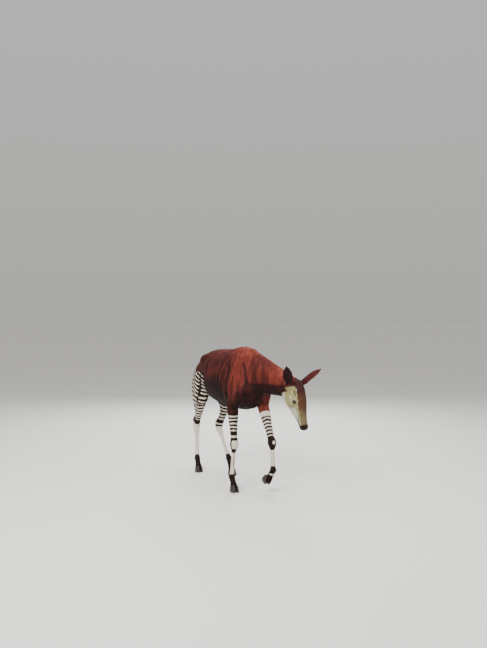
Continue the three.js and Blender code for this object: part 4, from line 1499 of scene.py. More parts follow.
    def colour_ear(self, ear: Ear) -> None:
        """The back, the inside with its pink, held low where the hollow is in painted shade, and the pale
        fringe of one ear.

        Args:
            ear: The ear.
        """
        points, table = self.skin.points, self.table
        along, turn, depth = ear.locate(points)
        on_ear = (depth < 90) * ramp(along, 0.02, 0.12)
        lower = ramp(np.sign(turn) * (ear.axes[1] @ DOWN), -0.05, 0.25)
        fringe = ramp(np.abs(turn), 0.70, 0.95) * band(along, *ear.fringe, 0.1)
        covered = on_ear * ramp(along, 0.0, 0.3)
        for name in ("head", "ridge", "bridge", "cheek", "jaw", "glow", "mask", "bare", "redness"):
            table[name] *= 1 - on_ear
        inside = on_ear * ramp(depth, 2.2, 4.2) * ramp(np.abs(turn), 1.0, 0.86)
        self.lift("ear", covered)
        self.lift("inside", inside)
        # Less pink inside the ear whose hollow is in painted shade
        self.lift("pink", inside * ear.pink)
        self.lift("rim", on_ear * fringe * (0.15 + 0.85 * lower))


# Coat


@dataclass(frozen=True)
class Pelt:
    """How tufts grow: their length and width, how high their tips stand and how many are on a square mm."""

    length: float
    width: float
    height: float
    density: float


PELTS = {
    Region.TRUNK: Pelt(17, 4.4, 3.4, 0.062),
    Region.NECK: Pelt(15, 4.0, 3.2, 0.070),
    Region.HEAD: Pelt(7.5, 2.1, 1.5, 0.165),
    Region.TAIL: Pelt(20, 3.0, 4.6, 0.14),
}
UPPER_LEG = Pelt(14, 3.8, 3.2, 0.075)
LOWER_LEG = Pelt(8.5, 2.4, 1.6, 0.125)
STRIPED = Pelt(9, 3.0, 1.9, 0.108)
CORONET = Pelt(13, 2.2, 2.6, 0.2)
FACE = Pelt(4.6, 1.6, 1.1, 0.235)
EAR_BACK = Pelt(8, 2.0, 1.3, 0.16)
EAR_INNER = Pelt(15, 1.6, 3.0, 0.09)
EAR_RIM = Pelt(11, 1.5, 2.2, 0.34)


def as_row(pelt: Pelt) -> Array:
    """A pelt's four numbers."""
    return np.array([pelt.length, pelt.width, pelt.height, pelt.density])


def grow(points: Array, normals: Array, shares: Array, striped: Array) -> tuple[Array, Array]:
    """How the coat grows over the skin.

    Args:
        points: Places on the skin.
        normals: The skin's normals there.
        shares: Their shares of each region.
        striped: How strongly they are striped.

    Returns:
        Rows of length, width, height and density, and the lie of the hair at length one.
    """
    up = points[:, 2]
    table = np.array([as_row(PELTS.get(region, UPPER_LEG)) for region in Region])
    pelts = shares @ table
    low = (shares[:, LEG_COLUMNS].sum(1) * ramp(up, 830, 600))[:, None]
    pelts = pelts * (1 - low) + as_row(LOWER_LEG) * low
    crisp = (ramp(striped, 0.1, 0.6) * ramp(up, 640, 760))[:, None]
    pelts = pelts * (1 - crisp) + as_row(STRIPED) * crisp
    down, out, _ = ((points - POLL) @ HEAD_AXES.T).T
    face = (shares[:, Region.HEAD] * ramp(down, 60, 230))[:, None]
    pelts = pelts * (1 - face) + as_row(FACE) * face
    ways = {
        Region.TRUNK: at(-0.75, 0, -0.62),
        Region.NECK: at(-0.8, -0.33, -0.45),
        Region.HEAD: -NOSEWARD - 0.35 * FACEWARD,
        Region.TAIL: at(-0.2, 0, -1),
    }
    lie = shares @ np.array([unit(ways.get(region, at(-0.25, 0, -1))) for region in Region])
    lie[:, 2] -= 0.25 * shares[:, 0] * ramp(-points[:, 1], -900, -1050)
    for leg in LEGS:
        rise = (points - leg.hoof) @ leg.sole_up
        near = norm(points - leg.hoof, axis=1) < 150
        fringe = (near * ramp(rise, 100, 74))[:, None]
        pelts = pelts * (1 - fringe) + as_row(CORONET) * fringe
        pelts[:, 3] *= 1 - near * ramp(rise, 46, 36)
        lie = lie * (1 - fringe) - leg.sole_up * fringe
    share = np.minimum(*[eye.opening(points)[0] for eye in EYES])
    keep = ramp(share, 1.2, 1.45)
    keep *= 1 - shares[:, Region.HEAD] * 0.8 * ramp(down, 430, 452) * ramp(np.abs(out - 10), 36, 20)
    pelts[:, 0] *= 0.65 + 0.35 * ramp(share, 1.4, 3.0)
    pelts[:, 3] *= keep * (points[:, 2] > 20)
    for ear in EARS:
        along, turn, depth = ear.locate(points)
        on_ear = (depth < 90) & (along > 0.04)
        inside = ramp(depth, 2.2, 4.2)
        rim = ramp(np.abs(turn), 0.86, 0.97)
        axis, across, opening = ear.axes
        rows = as_row(EAR_BACK) * (1 - inside)[:, None] + as_row(EAR_INNER) * inside[:, None]
        rows = rows * (1 - rim)[:, None] + as_row(EAR_RIM) * rim[:, None]
        pelts[on_ear] = rows[on_ear]
        away = axis + 0.75 * (rim * np.sign(turn))[:, None] * across
        away = away + 0.25 * (inside * turn)[:, None] * across + 0.3 * rim[:, None] * opening
        lie[on_ear] = away[on_ear]
    return pelts, square_rows(lie, normals)


def square_rows(vectors: Array, normals: Array) -> Array:
    """The parts of vectors that lie in the skin, at length one."""
    return unit(vectors - (vectors * normals).sum(1, keepdims=True) * normals)


@dataclass(frozen=True)
class Patch:
    """A piece of the coat, the line of places round which it is unwrapped, and a label of its kind, which the
    unwrap reads to tell the ears apart.
    """

    name: str
    chain: tuple
    slot: str = "body_coat"


TRUNK_LINE = (at(150, 0, 1150), at(-1180, 0, 1180))
TRUNK_PARTS = [f"{part}_{side}" for part in ("shoulder", "barrel", "rump") for side in ("right", "left")]
PATCHES = [Patch(name, TRUNK_LINE) for name in TRUNK_PARTS]
PATCHES += [
    Patch("neck", (at(40, 0, 1298), at(572, 206, 1160))),
    Patch("head", (on_head(-40, -30, 0), on_head(HEAD_LENGTH, 0, 0)), "face_coat"),
    Patch("tail", (at(-1184, 0, 1266), at(-1264, 0, 990))),
]
PATCHES += [
    Patch(f"{leg.region.name.lower()}_leg", (leg.hoof, leg.fetlock, leg.joint, leg.lie[0]), "leg_coat")
    for leg in LEGS
]
PATCHES += [
    Patch(f"{name}_ear", (ear.root, ear.root + ear.axes[0] * EAR_LENGTH), "ear_coat")
    for name, ear in zip(("left", "right"), EARS)
]
NECK_PATCH, HEAD_PATCH, TAIL_PATCH, FIRST_LEG_PATCH, FIRST_EAR_PATCH = 6, 7, 8, 9, 13


def patch_of(points: Array, shares: Array) -> Array:
    """The number of the coat piece that each place belongs to.

    Args:
        points: Places, one a row.
        shares: Their shares of each region.

    Returns:
        Numbers in PATCHES.
    """
    forward, left, up = spread(points)
    row = np.where(forward > -190, 0, np.where(forward > -640, 2, 4)) + (left > 0)
    best = shares.argmax(1)
    row = np.where(best == Region.NECK, NECK_PATCH, row)
    row = np.where(best == Region.HEAD, HEAD_PATCH, row)
    row = np.where(best == Region.TAIL, TAIL_PATCH, row)
    for n, leg in enumerate(LEGS):
        row = np.where((best == leg.region) & (up < 900), FIRST_LEG_PATCH + n, row)
    for n, ear in enumerate(EARS):
        along, _, depth = ear.locate(points)
        row = np.where((depth < 90) & (along > 0.06), FIRST_EAR_PATCH + n, row)
    return row


def unwrap(patch: Patch, points: Array, normals: Array) -> Array:
    """Unrolls places round the line of their patch onto a square.

    Args:
        patch: The piece of the coat.
        points: Places on the skin.
        normals: The skin's normals there.

    Returns:
        Two shares of the square for each place.
    """
    best = np.full(len(points), 1e9)
    turn = np.zeros(len(points))
    along = np.zeros(len(points))
    start = 0.0
    for a, b in zip(patch.chain, patch.chain[1:]):
        axis = unit(b - a)
        length = float(norm(b - a))
        reach = (points - a) @ axis
        offset = points - a - np.clip(reach, 0, length)[:, None] * axis
        away = norm(offset, axis=1)
        ahead = square_to(UP if abs(axis[2]) < 0.7 else FORWARD, axis)
        closer = away < best
        best = np.where(closer, away, best)
        angle = np.arctan2(offset @ np.cross(axis, ahead), offset @ ahead)
        turn = np.where(closer, angle, turn)
        along = np.where(closer, start + reach, along)
        start += length
    if patch.slot == "ear_coat":
        middle = patch.chain[0] + along[:, None] * axis
        turn = turn + 7.0 * (((points - middle) * normals).sum(1) < 0)
    flat = np.stack([turn, along], 1)
    low, high = flat.min(0), flat.max(0)
    return 0.01 + 0.98 * (flat - low) / (high - low)


@dataclass(frozen=True)
class Roots:
    """Where tufts grow: the corners of the triangles that they stand on and how near they are to each."""

    faces: Array
    parts: Array

    def blend(self, values: Array) -> Array:
        """The values at the roots."""
        return np.einsum("nk,nk...->n...", self.parts, values[self.faces])


@dataclass
class Coat:
    """The tufts that cover the skin."""

    skin: Skin
    marks: dict[str, Array]
    spread: float = 0.16
    ruffle: float = 0.2
    bake: float = 0.003

    def build(self) -> list[Piece]:
        """Grows every piece of the coat.

        Returns:
            The pieces.
        """
        skin = self.skin
        triangles = triangles_of(skin.piece)
        corners = skin.points[triangles]
        sides = corners[:, 1:] - corners[:, :1]
        areas = norm(np.cross(sides[:, 0], sides[:, 1]), axis=1) / 2
        pelts, lie = grow(skin.points, skin.normals, skin.shares, self.marks["striped"])
        weights = areas * pelts[triangles, 3].mean(1)
        owner = patch_of(corners.mean(1), skin.shares[triangles].mean(1))
        pieces = []
        for number, patch in enumerate(PATCHES):
            own = np.flatnonzero(owner == number)
            rng = np.random.default_rng(SEED + number)
            running = np.cumsum(weights[own])
            count = int(running[-1])
            picks = np.searchsorted(running, (np.arange(count) + rng.random(count)) * running[-1] / count)
            faces = triangles[own[np.minimum(picks, len(own) - 1)]]
            a, b = rng.random((2, count))
            over = a + b > 1
            a, b = np.where(over, 1 - a, a), np.where(over, 1 - b, b)
            roots = Roots(faces, np.stack([1 - a - b, a, b], 1))
            pieces.append(self.tufts(patch, rng, roots, pelts, lie))
        return pieces

    def tufts(
        self, patch: Patch, rng: np.random.Generator, roots: Roots, pelts: Array, lie: Array
    ) -> Piece:
        """Makes the tufts of one piece: thin closed spikes with a ridge, which lie along the skin.

        Args:
            patch: The piece of the coat.
            rng: Where its chances come from.
            roots: Where its tufts grow.
            pelts: How the coat grows at each vertex of the skin.
            lie: The lie of the hair there.

        Returns:
            The piece.
        """
        skin = self.skin
        root, normal = roots.blend(skin.points), unit(roots.blend(skin.normals))
        length, width, height, _ = roots.blend(pelts).T
        count = len(root)
        way = square_rows(roots.blend(lie), normal)
        side = np.cross(normal, way)
        way = unit(way + side * rng.normal(0, self.spread, count)[:, None])
        side = np.cross(normal, way)
        length = length * rng.uniform(0.75, 1.25, count)
        tip_height = height * rng.uniform(0.45, 1.0, count)
        wide = side * (width * rng.uniform(0.8, 1.2, count) / 2)[:, None]
        sunk = normal * 0.5
        ridge = normal * (0.28 * width + 0.25 * height)[:, None] + way * (0.2 * length)[:, None]
        tip = way * length[:, None] + normal * tip_height[:, None]
        points = np.stack([root - wide - sunk, root + wide - sunk, root + ridge, root + tip], 1)
        lean = side * rng.normal(0, 1, (count, 1)) + way * rng.normal(0, 1, (count, 1))
        lit = normal + self.ruffle * lean
        shading = np.stack([lit - side * 0.4, lit + side * 0.4, lit - way * 0.1, lit], 1)
        base = np.arange(count)[:, None, None] * 4
        faces = (base + np.array([(0, 3, 2), (1, 2, 3), (0, 2, 1), (0, 1, 3)])).reshape(-1, 3)
        corners = self.bake * np.array([(-0.5, 0), (0.5, 0), (0, 0.35), (0, 1)])
        spot = unwrap(patch, root, normal)[:, None] + corners
        piece = make_object(f"coat_{patch.name}", (points.reshape(-1, 3) + skin.shift) * METRES, faces)
        self.keep_marks(piece, spot.reshape(-1, 2)[faces.ravel()], roots, rng)
        piece.data.shade_smooth()
        piece.data.normals_split_custom_set_from_vertices(unit(shading.reshape(-1, 3)))
        log.info("%s: %d tufts", piece.name, count)
        return piece

    def keep_marks(
        self, piece: Piece, spots: Array, roots: Roots, rng: np.random.Generator
    ) -> None:
        """Gives a piece its map for baking and the marks that its finish reads.

        Args:
            piece: The piece.
            spots: The map's place for each corner of a face.
            roots: Where its tufts grow.
            rng: Where its chances come from.
        """
        layer = piece.data.uv_layers.new(name="OFBake", do_init=False)
        layer.uv.foreach_set("vector", spots.astype(np.float32).ravel())
        each = len(piece.data.vertices) // len(roots.faces)
        for key, values in self.marks.items():
            store(piece, key, np.repeat(roots.blend(values), each, axis=0))
        store(piece, "strand", np.repeat(rng.random(len(roots.faces)), each))


def lock_mesh(root: Array, ways: tuple, length: float, width: float, steps: int = 4) -> tuple[Array, list]:
    """A long lock of hair that bends from one way to another: three-sided rings with a pointed end.

    Args:
        root: Where it starts.
        ways: The ways in which it starts and ends.
        length: Its length.
        width: Its width at the root.
        steps: The number of its rings.

    Returns:
        Its points and its triangles.
    """
    place = root
    rows = []
    for n in range(steps):
        way = unit(ways[0] + (ways[1] - ways[0]) * n / (steps - 1))
        side = square_to(LEFTWARD + 0.3 * FORWARD, way)
        over = np.cross(way, side)
        size = width * (1 - 0.75 * n / steps) / 2
        rows += [place + size * (math.cos(turn) * side + math.sin(turn) * over) for turn in (0, 2.1, 4.2)]
        place = place + way * length / steps
    rows.append(place)
    faces = [(0, 2, 1)]
    for n in range(steps - 1):
        for k in range(3):
            a, b = 3 * n + k, 3 * n + (k + 1) % 3
            faces += [(a, b, b + 3), (a, b + 3, a + 3)]
    last = 3 * (steps - 1)
    faces += [(last + k, last + (k + 1) % 3, last + 3) for k in range(3)]
    return np.array(rows), faces


@dataclass
class LongHair:
    """The tuft at the end of the tail and the lashes."""

    skin: Skin
    tail_locks: int = 620
    tuft_top: float = 1125
    tuft_tip: float = 948
    lash_count: int = 46

    def build(self) -> list[Piece]:
        """Makes the tuft and both rows of lashes."""
        return [self.tail_tuft()] + [self.lashes(eye) for eye in EYES]

    def join(self, name: str, locks: list) -> Piece:
        """Joins locks into one dark piece.

        Args:
            name: The piece's name.
            locks: The points and triangles of each lock.

        Returns:
            The piece.
        """
        points = np.concatenate([rows for rows, _ in locks])
        starts = np.cumsum([0] + [len(rows) for rows, _ in locks])
        faces = np.concatenate([np.array(faces) + start for (_, faces), start in zip(locks, starts)])
        piece = make_object(name, (points + self.skin.shift) * METRES, faces)
        piece.data.shade_smooth()
        store(piece, "dark", np.ones(len(points)))
        store(piece, "root", points * METRES)
        strand = np.random.default_rng(SEED).random(len(locks))
        store(piece, "strand", np.repeat(strand, [len(rows) for rows, _ in locks]))
        return piece

    def tail_tuft(self) -> Piece:
        """Locks that hang from the lower tail.

        Returns:
            The piece.
        """
        skin = self.skin
        rng = np.random.default_rng(SEED)
        height = skin.points[:, 2]
        near = np.flatnonzero((skin.shares[:, Region.TAIL] > 0.8) & (height < self.tuft_top))
        picks = rng.choice(near, self.tail_locks)
        locks = []
        for root, normal in zip(skin.points[picks], skin.normals[picks]):
            length = min(rng.uniform(60, 120), root[2] - self.tuft_tip)
            start = unit(DOWN + 0.45 * normal + rng.normal(0, 0.1, 3))
            end = unit(DOWN + 0.12 * normal + rng.normal(0, 0.08, 3))
            if length > 14:
                locks.append(lock_mesh(root, (start, end), length, rng.uniform(2.2, 3.4)))
        return self.join("tail_tuft", locks)

    def lashes(self, eye: Eye) -> Piece:
        """A row of lashes on the upper lid.

        Args:
            eye: The eye.

        Returns:
            The piece.
        """
        rng = np.random.default_rng(SEED + eye.side)
        look, long, over = eye.axes
        locks = []
        for share in np.linspace(-0.92, 0.92, self.lash_count):
            flat = np.array([share * eye.half_length, eye.upper * (1.12 - share**2)])
            angle = norm(flat) / EYE_RADIUS
            sideways = (flat / norm(flat)) @ np.stack([long, over])
            out = math.cos(angle) * look + math.sin(angle) * sideways
            root = eye.centre + out * (EYE_RADIUS + 0.6)
            start = unit(out + 0.35 * over + 0.3 * share * long + rng.normal(0, 0.08, 3))
            end = unit(0.5 * out + 0.5 * over + 0.35 * share * long - 0.25 * NOSEWARD)
            locks.append(lock_mesh(root, (start, end), rng.uniform(7.5, 10.5), 0.55, 3))
        return self.join("lashes_left" if eye.side > 0 else "lashes_right", locks)


# Claws


@dataclass(frozen=True)
class Claw:
    """One claw of a cloven hoof, from its flat sole up to the coronet."""

    leg: Leg
    side: int
    columns: int = 32
    rows: int = 10
    worn_edge: float = 0.003

    @property
    def node(self) -> str:
        """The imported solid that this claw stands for."""
        place = "outer" if self.side * self.leg.side < 0 else "inner"
        return f"{self.leg.region.name.lower()}_{place}_hoof"

    def build(self, shift: Array) -> Piece:
        """Makes the claw: a cylinder cut into rings, drawn out to a pointed, leaning shape, and rounded.

        Args:
            shift: The way from its own places to the frame's.

        Returns:
            The claw.
        """
        bpy.ops.object.select_all(action="DESELECT")
        bpy.ops.mesh.primitive_cylinder_add(vertices=self.columns, radius=1, depth=1, end_fill_type="TRIFAN")
        piece = bpy.context.object
        piece.name = self.node.replace("hoof", "claw")
        bpy.ops.object.mode_set(mode="EDIT")
        for height in np.linspace(-0.5, 0.5, self.rows + 1)[1:-1]:
            bpy.ops.mesh.select_all(action="SELECT")
            bpy.ops.mesh.bisect(plane_co=(0, 0, height), plane_no=(0, 0, 1))
        bpy.ops.object.mode_set(mode="OBJECT")
        local = places_of(piece)
        height = local[:, 2] + 0.5
        size = np.interp(height, (0, 0.5, 0.8, 0.9, 1), (1, 0.95, 0.87, 0.8, 0.66))
        size *= 0.99 - 0.012 * (np.round(height * self.rows) % 2)
        back = np.interp(height, (0, 0.5, 1), (0, 6, 18))
        ahead = np.maximum(local[:, 0], 0)
        along = local[:, 0] * HOOF_LENGTH / 2 * size - back
        across = local[:, 1] * HOOF_WIDTH / 2 * size * (1 - 0.34 * ahead**2) - self.side * 5 * ahead
        rise = HOOF_HEIGHT * height * (1 + 0.26 * local[:, 0])
        forward, up = unit(self.leg.toes), self.leg.sole_up
        flat = self.side * CLAW_SPACING + across
        points = self.leg.hoof + along[:, None] * forward + flat[:, None] * np.cross(forward, up)
        points = points + rise[:, None] * up
        set_places(piece, (points + shift) * METRES)
        everywhere = np.ones(len(piece.data.polygons))
        edit_faces(piece, everywhere, lambda: bpy.ops.mesh.normals_make_consistent(inside=False))
        rounding = piece.modifiers.new("rounding", "BEVEL")
        rounding.width = self.worn_edge
        rounding.segments = 3
        rounding.limit_method = "ANGLE"
        rounding.angle_limit = math.radians(55)
        bpy.ops.object.modifier_apply(modifier=rounding.name)
        bpy.ops.object.shade_smooth_by_angle(angle=math.radians(50))
        return piece


# Finishes


def linear(colour: str) -> tuple:
    """A colour written as sRGB hex, in the linear values that materials use."""
    parts = [int(colour[n : n + 2], 16) / 255 for n in (1, 3, 5)]
    return (*(part / 12.92 if part <= 0.04045 else ((part + 0.055) / 1.055) ** 2.4 for part in parts), 1.0)


def add_node(
    tree: Tree, kind: str, inputs: dict | None = None, output: int | str = 0, **settings
) -> Socket:
    """Adds a node with its settings and links.

    Args:
        tree: The node tree.
        kind: The node's type, without the word ShaderNode before it.
        inputs: For each input, by name or number, its value or the socket that feeds it.
        output: Which output to give back.
        settings: The node's own settings.

    Returns:
        One of its outputs.
    """
    node = tree.nodes.new(f"ShaderNode{kind}")
    for key, value in settings.items():
        setattr(node, key, value)
    for key, value in (inputs or {}).items():
        if isinstance(value, Socket):
            tree.links.new(value, node.inputs[key])
        else:
            node.inputs[key].default_value = value
    return node.outputs[output] if len(node.outputs) else None


@dataclass(frozen=True)
class Finish:
    """What every finish does alike: it makes a material of one shader, with settings of its own."""

    name: str = "plain"

    def settings(self, add: Callable) -> dict:
        """The shader's settings: values, or outputs of nodes that it adds."""
        return {}

    def build(self) -> Material:
        """Makes the material.

        Returns:
            The material.
        """
        material = bpy.data.materials.new(self.name)
        material.use_nodes = True
        tree = material.node_tree
        tree.nodes.clear()
        add = partial(add_node, tree)
        shader = add("BsdfPrincipled", self.settings(add))
        add("OutputMaterial", {"Surface": shader})
        return material


@dataclass(frozen=True)
class Dye:
    """A colour that lies over those before it where a mark is high, with an edge made ragged by a noise."""

    mark: str
    low: float
    high: float
    colour: str
    strength: float = 1.0
    noise: str = "edge"
    ragged: float = 1.0


@dataclass(frozen=True)
class CoatFinish(Finish):
    """Short, oily, velvet hair: soft light along its lie, with no hard gloss."""

    name: str = "okapi_hair"
    darkest: str = "#2B1110"
    dyes: tuple = (
        # The coat's red from dark to bright, read from a mark with painted light in it: the brightest red is
        # painted highlight
        Dye("tone", 1.12, 1.55, "#4C1F1B"),
        Dye("tone", 1.48, 1.98, "#6E2D24"),
        Dye("tone", 1.92, 2.45, "#964A38", 0.9),
        # Painted shade under the body, round the lower neck and chest, on the flank, round the elbows and in
        # the creases
        Dye("shade", 0.10, 0.95, "#170B0D", 0.86, "cloud", 0.35),
        # Purple brown forehead, redder below it, olive brown bridge, olive cream cheek and paler jaw
        Dye("head", 0.35, 0.65, "#452624"),
        Dye("ridge", 0.22, 1.00, "#60402C", 0.85, "cloud", 0.9),
        Dye("bridge", 0.20, 1.00, "#7B6D4E", 0.95, "cloud", 0.8),
        Dye("cheek", 0.30, 0.74, "#A39B6C"),
        Dye("cheek", 0.75, 1.25, "#8B8158", 0.6, "cloud", 1.6),
        Dye("jaw", 0.15, 0.90, "#C9C9B8", 0.95, "cloud", 0.8),
        Dye("glow", 0.25, 0.95, "#D2CEB2", 0.85),
        # Near-black brown of the striped legs, of the marks of the face with the painted shade at the temple
        # among them, and of the ears
        Dye("dark", 0.25, 0.75, "#21120F"),
        Dye("mask", 0.20, 0.95, "#211814", 0.95),
        Dye("ear", 0.30, 0.70, "#26110F"),
        Dye("inside", 0.30, 0.80, "#33191F"),
        # Pink inside the ears, low on the right ear as painted shade in its hollow
        Dye("pink", 0.20, 0.90, "#763A3B", 0.95, "cloud", 0.9),
        Dye("stripe", 2.36, 2.64, "#E4DBC8", 1.0, "edge", 0.0),
        Dye("pale", 0.36, 0.64, "#E4DBC8", 1.0, "edge", 0.5),
        Dye("rim", 0.35, 0.80, "#CFC4AC", 0.9),
    )
    naked: str = "#1A1311"
    roughness: float = 0.62

    def patterns(self, add: Callable, root: Socket) -> dict:
        """Adds the noises that make edges ragged and draw streaks.

        Args:
            add: What adds a node.
            root: Each tuft's place on the animal.

        Returns:
            The noises by name.
        """
        tall = add("Mapping", {"Vector": root, "Scale": (24.0, 24.0, 3.5)})
        thin = add("Mapping", {"Vector": root, "Scale": (85.0, 85.0, 10.0)})
        kinds = {
            # Clouds of 60 mm, edges broken up by 6 mm, and bands that wander by 45 mm
            "cloud": (root, 16.0, 3.0),
            "edge": (root, 160.0, 2.0),
            "wander": (root, 22.0, 1.0),
            # Streaks that run down the flanks, 40 by 280 mm and 12 by 100 mm
            "tall": (tall, 1.0, 2.0),
            "thin": (thin, 1.0, 4.0),
        }
        return {
            name: add("TexNoise", {"Vector": place, "Scale": scale, "Detail": detail})
            for name, (place, scale, detail) in kinds.items()
        }

    def read_marks(self, add: Callable, noises: dict) -> dict:
        """Reads the marks kept at each vertex, and works out the tone of red and the stripes.

        Args:
            add: What adds a node.
            noises: The noises by name.

        Returns:
            The marks by name.
        """
        marks = {name: add("Attribute", output="Fac", attribute_name=name) for name in (*MARKS, "strand")}
        # The tone of red, which carries painted light and shade, broken up by streaks
        stirred = (
            ("tone", "redness", "tall", 1.5),
            ("tone", "tone", "thin", 0.9),
            ("turns", "phase", "wander", 0.5),
            ("turns", "turns", "edge", 0.14),
        )
        for name, source, noise, strength in stirred:
            inputs = {0: noises[noise], 1: strength, 2: marks[source]}
            marks[name] = add("Math", inputs, operation="MULTIPLY_ADD")
        angle = add("Math", {0: marks["turns"], 1: 2 * math.pi}, operation="MULTIPLY")
        wave = add("Math", {0: angle}, operation="SINE")
        inputs = {0: marks["striped"], 1: 2.2, 2: wave}
        marks["stripe"] = add("Math", inputs, operation="MULTIPLY_ADD")
        return marks

    def lay_dyes(self, add: Callable, noises: dict, marks: dict) -> Socket:
        """Lays the dyes over each other, then the strands' own light and the bare skin.

        Args:
            add: What adds a node.
            noises: The noises by name.
            marks: The marks by name.

        Returns:
            The colour of the coat.
        """
        colour = linear(self.darkest)
        for dye in self.dyes:
            ragged = 0.0 if dye.mark == "tone" else dye.ragged
            inputs = {0: noises[dye.noise], 1: ragged, 2: marks[dye.mark]}
            held = add("Math", inputs, operation="MULTIPLY_ADD")
            low, high = dye.low + ragged / 2, dye.high + ragged / 2
            limits = {0: held, 1: low, 2: high, 3: 0.0, 4: dye.strength}
            share = add("MapRange", limits, interpolation_type="SMOOTHSTEP")
            ends = {0: share, 6: colour, 7: linear(dye.colour)}
            colour = add("Mix", ends, 2, data_type="RGBA")
        light = add("MapRange", {0: marks["strand"], 3: 0.84, 4: 1.14})
        grey = add("CombineColor", {0: light, 1: light, 2: light})
        ends = {0: 1.0, 6: colour, 7: grey}
        colour = add("Mix", ends, 2, data_type="RGBA", blend_type="MULTIPLY")
        ends = {0: marks["bare"], 6: colour, 7: linear(self.naked)}
        return add("Mix", ends, 2, data_type="RGBA")

    def settings(self, add: Callable) -> dict:
        """Reads the marks kept at each vertex and lays the dyes by them.

        Args:
            add: What adds a node.

        Returns:
            The shader's settings.
        """
        root = add("Attribute", output="Vector", attribute_name="root")
        noises = self.patterns(add, root)
        marks = self.read_marks(add, noises)
        colour = self.lay_dyes(add, noises, marks)
        # Single hairs of about 1 mm, drawn coarser than they are so that they show
        fine = add("TexNoise", {"Vector": root, "Scale": 900.0, "Detail": 1.0})
        bump = add("Bump", {"Strength": 0.35, "Distance": 0.0008, "Height": fine})
        rough = add("MapRange", {0: marks["bare"], 3: self.roughness, 4: 0.4})
        coat = {"Base Color": colour, "Roughness": rough, "Specular IOR Level": 0.12, "Normal": bump}
        return {**coat, "Sheen Weight": 0.04, "Sheen Roughness": 0.4}


@dataclass(frozen=True)
class EyeFinish(Finish):
    """A wet, clear cornea over a dark brown iris with a lying oval pupil."""

    name: str = "wet_eye"
    white: str = "#3A2A22"
    iris: str = "#3B2012"
    rim: str = "#120A07"
    pupil: str = "#050404"

    def settings(self, add: Callable) -> dict:
        """Reads the gaze kept at each vertex and draws rings by it.

        Args:
            add: What adds a node.

        Returns:
            The shader's settings.
        """
        gaze = add("Attribute", output="Vector", attribute_name="gaze")
        near = add("VectorMath", {0: gaze, 1: (1, 1, 0)}, operation="MULTIPLY")
        away = add("VectorMath", {0: near}, "Value", operation="LENGTH")
        long = add("VectorMath", {0: gaze, 1: (0.5, 1.1, 0)}, operation="MULTIPLY")
        oval = add("VectorMath", {0: long}, "Value", operation="LENGTH")
        # Threads of the iris, about 1 mm apart
        thread = add("TexNoise", {"Vector": gaze, "Scale": 700.0, "Detail": 2.0})
        ends = {0: thread, 6: linear(self.iris), 7: linear(self.rim)}
        tint = add("Mix", ends, 2, data_type="RGBA")
        # Where the dark rim of the iris, the white and the pupil start and end, in metres from the middle
        rings = (
            (away, 0.0105, 0.0145, self.rim),
            (away, 0.0150, 0.0165, self.white),
            (oval, 0.0048, 0.0040, self.pupil),
        )
        for distance, low, high, colour in rings:
            limits = {0: distance, 1: low, 2: high}
            share = add("MapRange", limits, interpolation_type="SMOOTHSTEP")
            ends = {0: share, 6: tint, 7: linear(colour)}
            tint = add("Mix", ends, 2, data_type="RGBA")
        ball = {"Base Color": tint, "Roughness": 0.08, "IOR": 1.38}
        return {**ball, "Coat Weight": 0.3, "Coat Roughness": 0.03}


@dataclass(frozen=True)
class HornFinish(Finish):
    """Worn hoof horn: dull, dark grey brown, ringed by growth and paler where it is scuffed."""

    name: str = "hoof_horn"
    dark: str = "#15100E"
    pale: str = "#3D332B"

    def settings(self, add: Callable) -> dict:
        """Draws rings and scuffs on object coordinates.

        Args:
            add: What adds a node.

        Returns:
            The shader's settings.
        """
        place = add("TexCoord", output="Object")
        # Growth rings about 4 mm apart
        flat = add("Mapping", {"Vector": place, "Scale": (14.0, 14.0, 260.0)})
        rings = add("TexNoise", {"Vector": flat, "Scale": 1.0, "Detail": 3.0})
        scuffs = add("TexNoise", {"Vector": place, "Scale": 120.0, "Detail": 4.0})
        both = add("Math", {0: rings, 1: scuffs}, operation="MULTIPLY")
        share = add("MapRange", {0: both, 1: 0.15, 2: 0.42})
        ends = {0: share, 6: linear(self.dark), 7: linear(self.pale)}
        tint = add("Mix", ends, 2, data_type="RGBA")
        bump = add("Bump", {"Strength": 0.5, "Distance": 0.001, "Height": rings})
        rough = add("MapRange", {0: scuffs, 3: 0.35, 4: 0.6})
        return {"Base Color": tint, "Roughness": rough, "IOR": 1.54, "Normal": bump}


@dataclass(frozen=True)
class FloorFinish(Finish):
    """Matt painted studio floor."""

    name: str = "matt_studio_floor"
    colour: str = "#E2E0DC"

    def settings(self, add: Callable) -> dict:
        """One even paint."""
        return {"Base Color": linear(self.colour), "Roughness": 0.85}


# Studio


